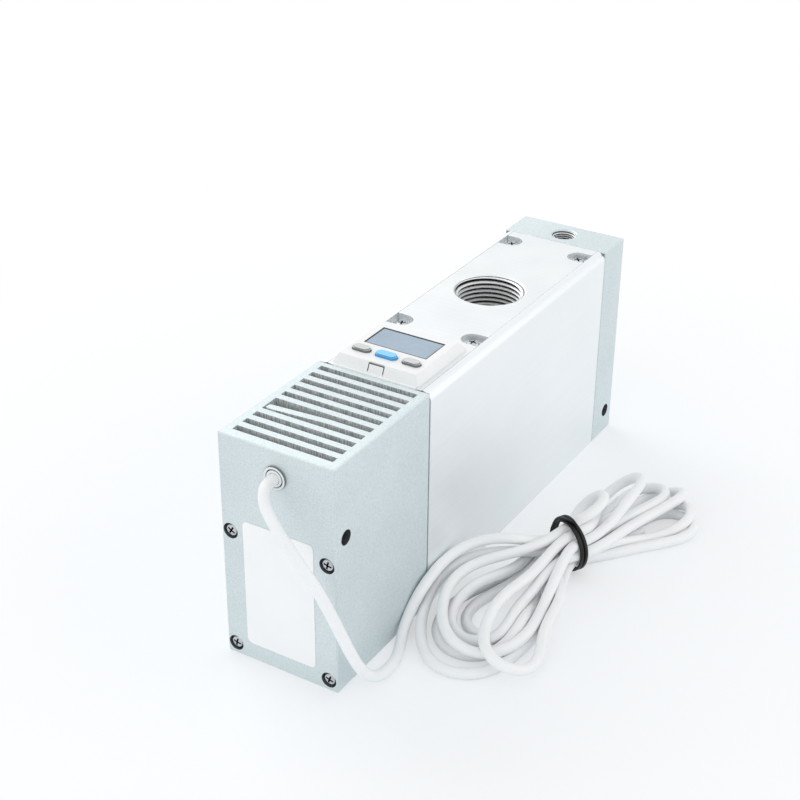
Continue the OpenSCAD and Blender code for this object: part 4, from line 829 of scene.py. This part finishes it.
for name, node, seed in (("case_screw", "case_screws", 3), ("supply_screw", "supply_screws", 5),
                         ("cover_screw", "cover_screws", 8)):
    low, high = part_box(node)
    if node == "cover_screws":
        tilt, length = 0.0, high.z - low.z - head_h
        seats = [(x, y, high.z - head_h) for x in (low.x + head_half, high.x - head_half)
                 for y in (low.y + head_half, high.y - head_half)]
    else:
        near = node == "case_screws"
        tilt, length = (quarter_turn if near else -quarter_turn), high.y - low.y - head_h
        seats = [(x, low.y + head_h if near else high.y - head_h, z)
                 for x in (low.x + head_half, high.x - head_half) for z in (low.z + head_half, high.z - head_half)]
    screws = grown(name, {"Head Radius": head_r, "Head Height": head_h, "Shank Radius": 1.5 * MM,
                          "Shank Length": length, "Tilt": tilt, "Seed": seed}, pan_head_screw, steel, seats)
    keep(screws, "root", [node])


# Inside the switch: the circuit board, a green glass-epoxy laminate that slides into the back shell, with the display
# and three tact switches in black moulded resin soldered to it. The closed shells hide them.
# The laminate has a satin varnish over copper tracks, drawn as rows 0.6 mm high.
laminate, tree = finish("glass_epoxy_laminate")
where = add(tree, "ShaderNodeTexCoord").outputs["Object"]
tracks = add(tree, "ShaderNodeTexBrick", {
    "Vector": where, "Scale": 400.0, "Color1": linear("1B5234"), "Color2": linear("22623F"),
    "Mortar": linear("2F7A52"), "Mortar Size": 0.03})
skin = add(tree, "ShaderNodeBsdfPrincipled", {"Base Color": tracks.outputs["Color"], "Roughness": 0.35, "IOR": 1.5})
add(tree, "ShaderNodeOutputMaterial", {"Surface": skin.outputs["BSDF"]})
wear(laminate, "circuit_board")
# Black moulded resin is dark and satin, with a haze in patches of 1.3 mm.
resin, tree = finish("black_moulded_resin")
where = add(tree, "ShaderNodeTexCoord").outputs["Object"]
haze = add(tree, "ShaderNodeTexNoise", {"Vector": where, "Scale": 800.0, "Detail": 3.0})
tone = add(tree, "ShaderNodeMix", {"Factor": haze.outputs["Fac"], "A": linear("161718"), "B": linear("26282A")},
           data_type="RGBA")
skin = add(tree, "ShaderNodeBsdfPrincipled", {"Base Color": tone.outputs["Result"], "Roughness": 0.4, "IOR": 1.5})
add(tree, "ShaderNodeOutputMaterial", {"Surface": skin.outputs["BSDF"]})
wear(resin, "tact_switches", "display_module")


# The switch's shells and the lead's socket: injection moulded in white PBT. The front shell has a tapered bezel with a
# latch tab in its near slope, and the back shell clips into it from below, inside the cover.
# The resin is clean and satin, with a spark-eroded grain drawn at 0.5 mm and a faint unevenness over 14 mm.
shell, tree = finish("moulded_white_resin")
where = add(tree, "ShaderNodeTexCoord").outputs["Object"]
grain = add(tree, "ShaderNodeTexNoise", {"Vector": where, "Scale": 2200.0, "Detail": 2.0})
cloud = add(tree, "ShaderNodeTexNoise", {"Vector": where, "Scale": 70.0, "Detail": 3.0})
tone = add(tree, "ShaderNodeMix", {"Factor": cloud.outputs["Fac"], "A": linear("EEF0F1"), "B": linear("F8F9F9")},
           data_type="RGBA")
relief = add(tree, "ShaderNodeBump", {"Height": grain.outputs["Fac"], "Strength": 0.12, "Distance": 0.0001})
skin = add(tree, "ShaderNodeBsdfPrincipled", {
    "Base Color": tone.outputs["Result"], "Roughness": 0.42, "IOR": 1.55, "Normal": relief.outputs["Normal"]})
add(tree, "ShaderNodeOutputMaterial", {"Surface": skin.outputs["BSDF"]})
bezel = softened("bezel", ["switch_case"], shell, 0.5, 0.25)
keep(bezel, "root", ["switch_case"])
wear(shell, "switch_back", "cable_socket")
# The bezel's foot ends in a thin lip that closes the gap to the case.
lip_outline = ((-48.46, 86.45), (-48.46, 87.2), (-48.3, 87.35), (-47.3, 87.35), (-47.3, 86.45))
lip = mesh_piece("bezel_lip", *sweep([[(x * MM, y * MM, z * MM) for y, z in lip_outline] for x in (-16.6, 16.6)]),
                 shell)
keep(lip, "root")
# Painted shade: a dark strip in the gap round the latch tab, on three sides. Each corner of it is across and up the
# near slope from the slope's foot, with half the gap's width; rise_y and rise_z are the slope's direction.
foot_y, foot_z, rise_y, rise_z = -47.5, 87.8, 0.4245, 0.9055
rings = []
for u, v, half in ((-3, 0.5, (0.2, 0)), (-3, 2.8, (0.2, -0.2)), (3, 2.8, (-0.2, -0.2)), (3, 0.5, (-0.2, 0))):
    ring = []
    for way, deep in ((-1, 0.05), (1, 0.05), (1, 0.5), (-1, 0.5)):
        x, up = u + way * half[0], v + way * half[1]
        ring.append((x * MM, (foot_y + rise_y * up + rise_z * deep) * MM,
                     (foot_z + rise_z * up - rise_y * deep) * MM))
    rings.append(ring)
latch_gap_shade = mesh_piece("latch_gap_shade", *sweep(rings), resin)
keep(latch_gap_shade, "root")


# The display window: a panel cut from cast acrylic, pressed into the bezel. A dark band round its edge is painted
# shade for the narrow gap between window and bezel.
# Smoked acrylic is glossy and blue-grey when the display is off. Wiping has left fine scratches, drawn 0.4 mm wide
# and 4 mm long, over a haze of 11 mm.
acrylic, tree = finish("smoked_acrylic")
where = add(tree, "ShaderNodeTexCoord").outputs["Object"]
streaks = add(tree, "ShaderNodeMapping", {"Vector": where, "Rotation": (0.0, 0.0, 0.5), "Scale": (2500.0, 260.0, 1.0)})
scratch = add(tree, "ShaderNodeTexNoise", {"Vector": streaks.outputs["Vector"], "Scale": 1.0, "Detail": 3.0})
glow = add(tree, "ShaderNodeTexNoise", {"Vector": where, "Scale": 90.0, "Detail": 2.0})
both = add(tree, "ShaderNodeMix", {"Factor": 0.45, "A": glow.outputs["Fac"], "B": scratch.outputs["Fac"]},
           data_type="FLOAT")
tone = add(tree, "ShaderNodeMix", {"Factor": both.outputs["Result"], "A": linear("899DB0"), "B": linear("B9CBD9")},
           data_type="RGBA")
skin = add(tree, "ShaderNodeBsdfPrincipled", {"Base Color": tone.outputs["Result"], "Roughness": 0.18, "IOR": 1.49})
add(tree, "ShaderNodeOutputMaterial", {"Surface": skin.outputs["BSDF"]})
window = softened("window", ["display_window"], acrylic, 0.12, 1.0)
keep(window, "root", ["display_window"])
low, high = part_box("display_window")
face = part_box("switch_case")[1].z
rings = []
# the shade band's section: how far it lies outside the window's edge in millimetres, and its height
for grow_by, z in ((0.32, face - 0.05 * MM), (0.32, face + 0.03 * MM), (0.28, face + 0.05 * MM),
                   (0.05, face + 0.05 * MM), (0.0, face + 0.02 * MM), (-0.1, high.z + 0.02 * MM),
                   (-0.1, high.z - 0.1 * MM), (0.05, high.z - 0.1 * MM)):
    g = grow_by * MM
    rings.append([(low.x - g, low.y - g, z), (high.x + g, low.y - g, z), (high.x + g, high.y + g, z),
                  (low.x - g, high.y + g, z)])
shade_band = mesh_piece("window_gap_shade", *sweep(rings, True), resin)
keep(shade_band, "root")


# Three push buttons moulded in soft-touch silicone resin: grey, sky blue and grey, each with a raised cap on a wider
# skirt. The skirt is held under the bezel, and a tact switch pushes the button up.
# The resin is matt, with a grain drawn at 0.6 mm; upward faces are painted lit and the caps' sides painted shade.
for name, node, slot, lit_top_code, shaded_side_code in (
        ("up_key", "up_button", "button_grey", "D9DBDA", "717577"),
        ("set_key", "set_button", "button_blue", "96D8FB", "47A0DC"),
        ("down_key", "down_button", "button_grey", "D9DBDA", "717577")):
    soft, tree = finish(name + "_resin")
    where = add(tree, "ShaderNodeTexCoord").outputs["Object"]
    facing = add(tree, "ShaderNodeSeparateXYZ", {"Vector": add(tree, "ShaderNodeNewGeometry").outputs["Normal"]})
    grain = add(tree, "ShaderNodeTexNoise", {"Vector": where, "Scale": 1800.0, "Detail": 2.0})
    painted_light_by_facing = add(tree, "ShaderNodeMapRange", {"Value": facing.outputs["Z"], "From Min": 0.3, "From Max": 0.95})
    speck = add(tree, "ShaderNodeMath", {0: grain.outputs["Fac"], 1: 0.12, 2: 0.88}, operation="MULTIPLY_ADD")
    both = add(tree, "ShaderNodeMath", {0: painted_light_by_facing.outputs["Result"], 1: speck.outputs[0]}, operation="MULTIPLY")
    tone = add(tree, "ShaderNodeMix", {"Factor": both.outputs[0], "A": linear(shaded_side_code), "B": linear(lit_top_code)},
               data_type="RGBA")
    relief = add(tree, "ShaderNodeBump", {"Height": grain.outputs["Fac"], "Strength": 0.1, "Distance": 0.0001})
    skin = add(tree, "ShaderNodeBsdfPrincipled", {
        "Base Color": tone.outputs["Result"], "Roughness": 0.5, "IOR": 1.43, "Normal": relief.outputs["Normal"]})
    add(tree, "ShaderNodeOutputMaterial", {"Surface": skin.outputs["BSDF"]})
    key = softened(name, [node], soft, 0.12, 1.0)
    keep(key, node, [node])


# The grommet: a bush with a flange, moulded in soft white PVC and pressed into the case's near face. The lead passes
# through its collar.
# Soft PVC is pale and satin, with clouds of 3 mm. The groove between collar and flange, and the flange's outer edge,
# are painted darker as painted shade.
front_y, lead_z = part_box("case_front")[0].y, 77 * MM
bush, tree = finish("soft_pvc_bush")
where = add(tree, "ShaderNodeTexCoord").outputs["Object"]
cloud = add(tree, "ShaderNodeTexNoise", {"Vector": where, "Scale": 300.0, "Detail": 3.0})
tone = add(tree, "ShaderNodeMix", {"Factor": cloud.outputs["Fac"], "A": linear("E4E8EA"), "B": linear("F2F4F5")},
           data_type="RGBA")
middle = add(tree, "ShaderNodeVectorMath", {0: where, 1: (0.0, 0.0, lead_z)}, operation="SUBTRACT").outputs[0]
middle = add(tree, "ShaderNodeVectorMath", {0: middle, 1: (1.0, 0.0, 1.0)}, operation="MULTIPLY").outputs[0]
out = add(tree, "ShaderNodeVectorMath", {0: middle}, operation="LENGTH").outputs["Value"]
groove = add(tree, "ShaderNodeMath", {0: out, 1: 3.1 * MM, 2: 0.16 * MM}, operation="COMPARE").outputs[0]
flange_rim = add(tree, "ShaderNodeMath", {0: out, 1: 4.1 * MM}, operation="GREATER_THAN").outputs[0]
grommet_painted_shade = add(tree, "ShaderNodeMath", {0: groove, 1: flange_rim}, operation="MAXIMUM").outputs[0]
tone = add(tree, "ShaderNodeMix", {"Factor": grommet_painted_shade, "A": tone.outputs["Result"], "B": linear("6E7579")},
           data_type="RGBA")
skin = add(tree, "ShaderNodeBsdfPrincipled", {"Base Color": tone.outputs["Result"], "Roughness": 0.45, "IOR": 1.52})
add(tree, "ShaderNodeOutputMaterial", {"Surface": skin.outputs["BSDF"]})
# Its outline: radius from the hole's middle, and distance out of the near face.
outline = ((2.05, -3.4), (2.05, 0.7), (2.2, 0.95), (2.75, 0.95), (2.95, 0.75), (2.98, -0.5), (3.1, -0.6), (3.22, -0.5),
           (3.3, 0.75), (3.5, 0.98), (3.95, 0.98), (4.18, 0.75), (4.2, -0.7), (3.3, -0.7), (3.3, -3.4))
steps_round = 72
rings = [[(r * np.cos(t) * MM, front_y - proud * MM, lead_z + r * np.sin(t) * MM) for r, proud in outline]
         for t in (2 * np.pi * k / steps_round for k in range(steps_round))]
grommet = mesh_piece("grommet", *sweep(rings, True), bush, 0.9)
keep(grommet, "root", ["cable_grommet"])


# The rating label's place: a blank white polyester film, die cut with rounded corners and stuck to the near face.
# The film is smooth and half glossy, with ripples of 2 mm in its glue and a drift of tone over 17 mm.
film, tree = finish("polyester_film")
where = add(tree, "ShaderNodeTexCoord").outputs["Object"]
cloud = add(tree, "ShaderNodeTexNoise", {"Vector": where, "Scale": 60.0, "Detail": 4.0})
ripple = add(tree, "ShaderNodeTexNoise", {"Vector": where, "Scale": 500.0, "Detail": 2.0})
tone = add(tree, "ShaderNodeMix", {"Factor": cloud.outputs["Fac"], "A": linear("F3F4F4"), "B": linear("FAFBFB")},
           data_type="RGBA")
relief = add(tree, "ShaderNodeBump", {"Height": ripple.outputs["Fac"], "Strength": 0.05, "Distance": 0.0001})
skin = add(tree, "ShaderNodeBsdfPrincipled", {
    "Base Color": tone.outputs["Result"], "Roughness": 0.4, "IOR": 1.57, "Normal": relief.outputs["Normal"]})
add(tree, "ShaderNodeOutputMaterial", {"Surface": skin.outputs["BSDF"]})
label = softened("label", ["label_plate"], film, 0.06, 1.0)
keep(label, "root", ["label_plate"])


# Studio: a white floor and a white room, lit evenly, with three soft lamps: the key from the upper left, one for the
# long side and one for the near end.
bpy.ops.mesh.primitive_plane_add(size=8.0, location=(0, 0, 0))
floor = bpy.context.object
floor.name = "floor"
white, tree = finish("white_floor")


def shown_rays(tree):
    """One where the background is seen: by the camera, in metal and through glass."""
    rays = add(tree, "ShaderNodeLightPath").outputs
    seen = add(tree, "ShaderNodeMath", {0: rays["Is Camera Ray"], 1: rays["Is Glossy Ray"]}, operation="MAXIMUM")
    return add(tree, "ShaderNodeMath", {0: seen.outputs[0], 1: rays["Is Transmission Ray"]},
               operation="MAXIMUM").outputs[0]


# Near the object the floor takes its shadow, and further out it turns to plain white.
away = add(tree, "ShaderNodeVectorMath", {0: add(tree, "ShaderNodeTexCoord").outputs["Object"]}, operation="LENGTH")
plain = add(tree, "ShaderNodeMapRange", {
    "Value": away.outputs["Value"], "From Min": 0.12, "From Max": 0.32, "To Min": 0.48, "To Max": 1.0},
    interpolation_type="SMOOTHSTEP")
lit = add(tree, "ShaderNodeBsdfDiffuse", {"Color": (0.9, 0.94, 0.97, 1)})
bright = add(tree, "ShaderNodeEmission", {"Color": (1, 1, 1, 1), "Strength": 1.0})
share = add(tree, "ShaderNodeMath", {0: shown_rays(tree), 1: plain.outputs["Result"]}, operation="MULTIPLY")
both = add(tree, "ShaderNodeMixShader", {0: share.outputs[0], 1: lit.outputs[0], 2: bright.outputs[0]})
add(tree, "ShaderNodeOutputMaterial", {"Surface": both.outputs[0]})
floor.data.materials.append(white)
sky = bpy.data.worlds.new("sky")
bpy.context.scene.world = sky
sky.use_nodes = True
sky.node_tree.nodes.clear()
power = add(sky.node_tree, "ShaderNodeMapRange", {"Value": shown_rays(sky.node_tree), "To Min": 0.77, "To Max": 1.0})
back = add(sky.node_tree, "ShaderNodeBackground", {"Color": (1, 1, 1, 1), "Strength": power.outputs[0]})
add(sky.node_tree, "ShaderNodeOutputWorld", {"Surface": back.outputs[0]})
aim = Vector((0, 0, 0.04))
for name, at, size, watts in (("key", (-1.1, 0.4, 1.0), 1.0, 7.0),
                              ("side", (1.2, 0.4, 0.5), 1.2, 3.5),
                              ("front", (-0.3, -1.4, 0.6), 1.0, 3.2)):
    lamp = bpy.data.lights.new(name, "AREA")
    lamp.size, lamp.energy = size, watts
    holder = bpy.data.objects.new(name, lamp)
    bpy.context.collection.objects.link(holder)
    holder.location = at
    holder.rotation_euler = (aim - Vector(at)).to_track_quat("-Z", "Y").to_euler()
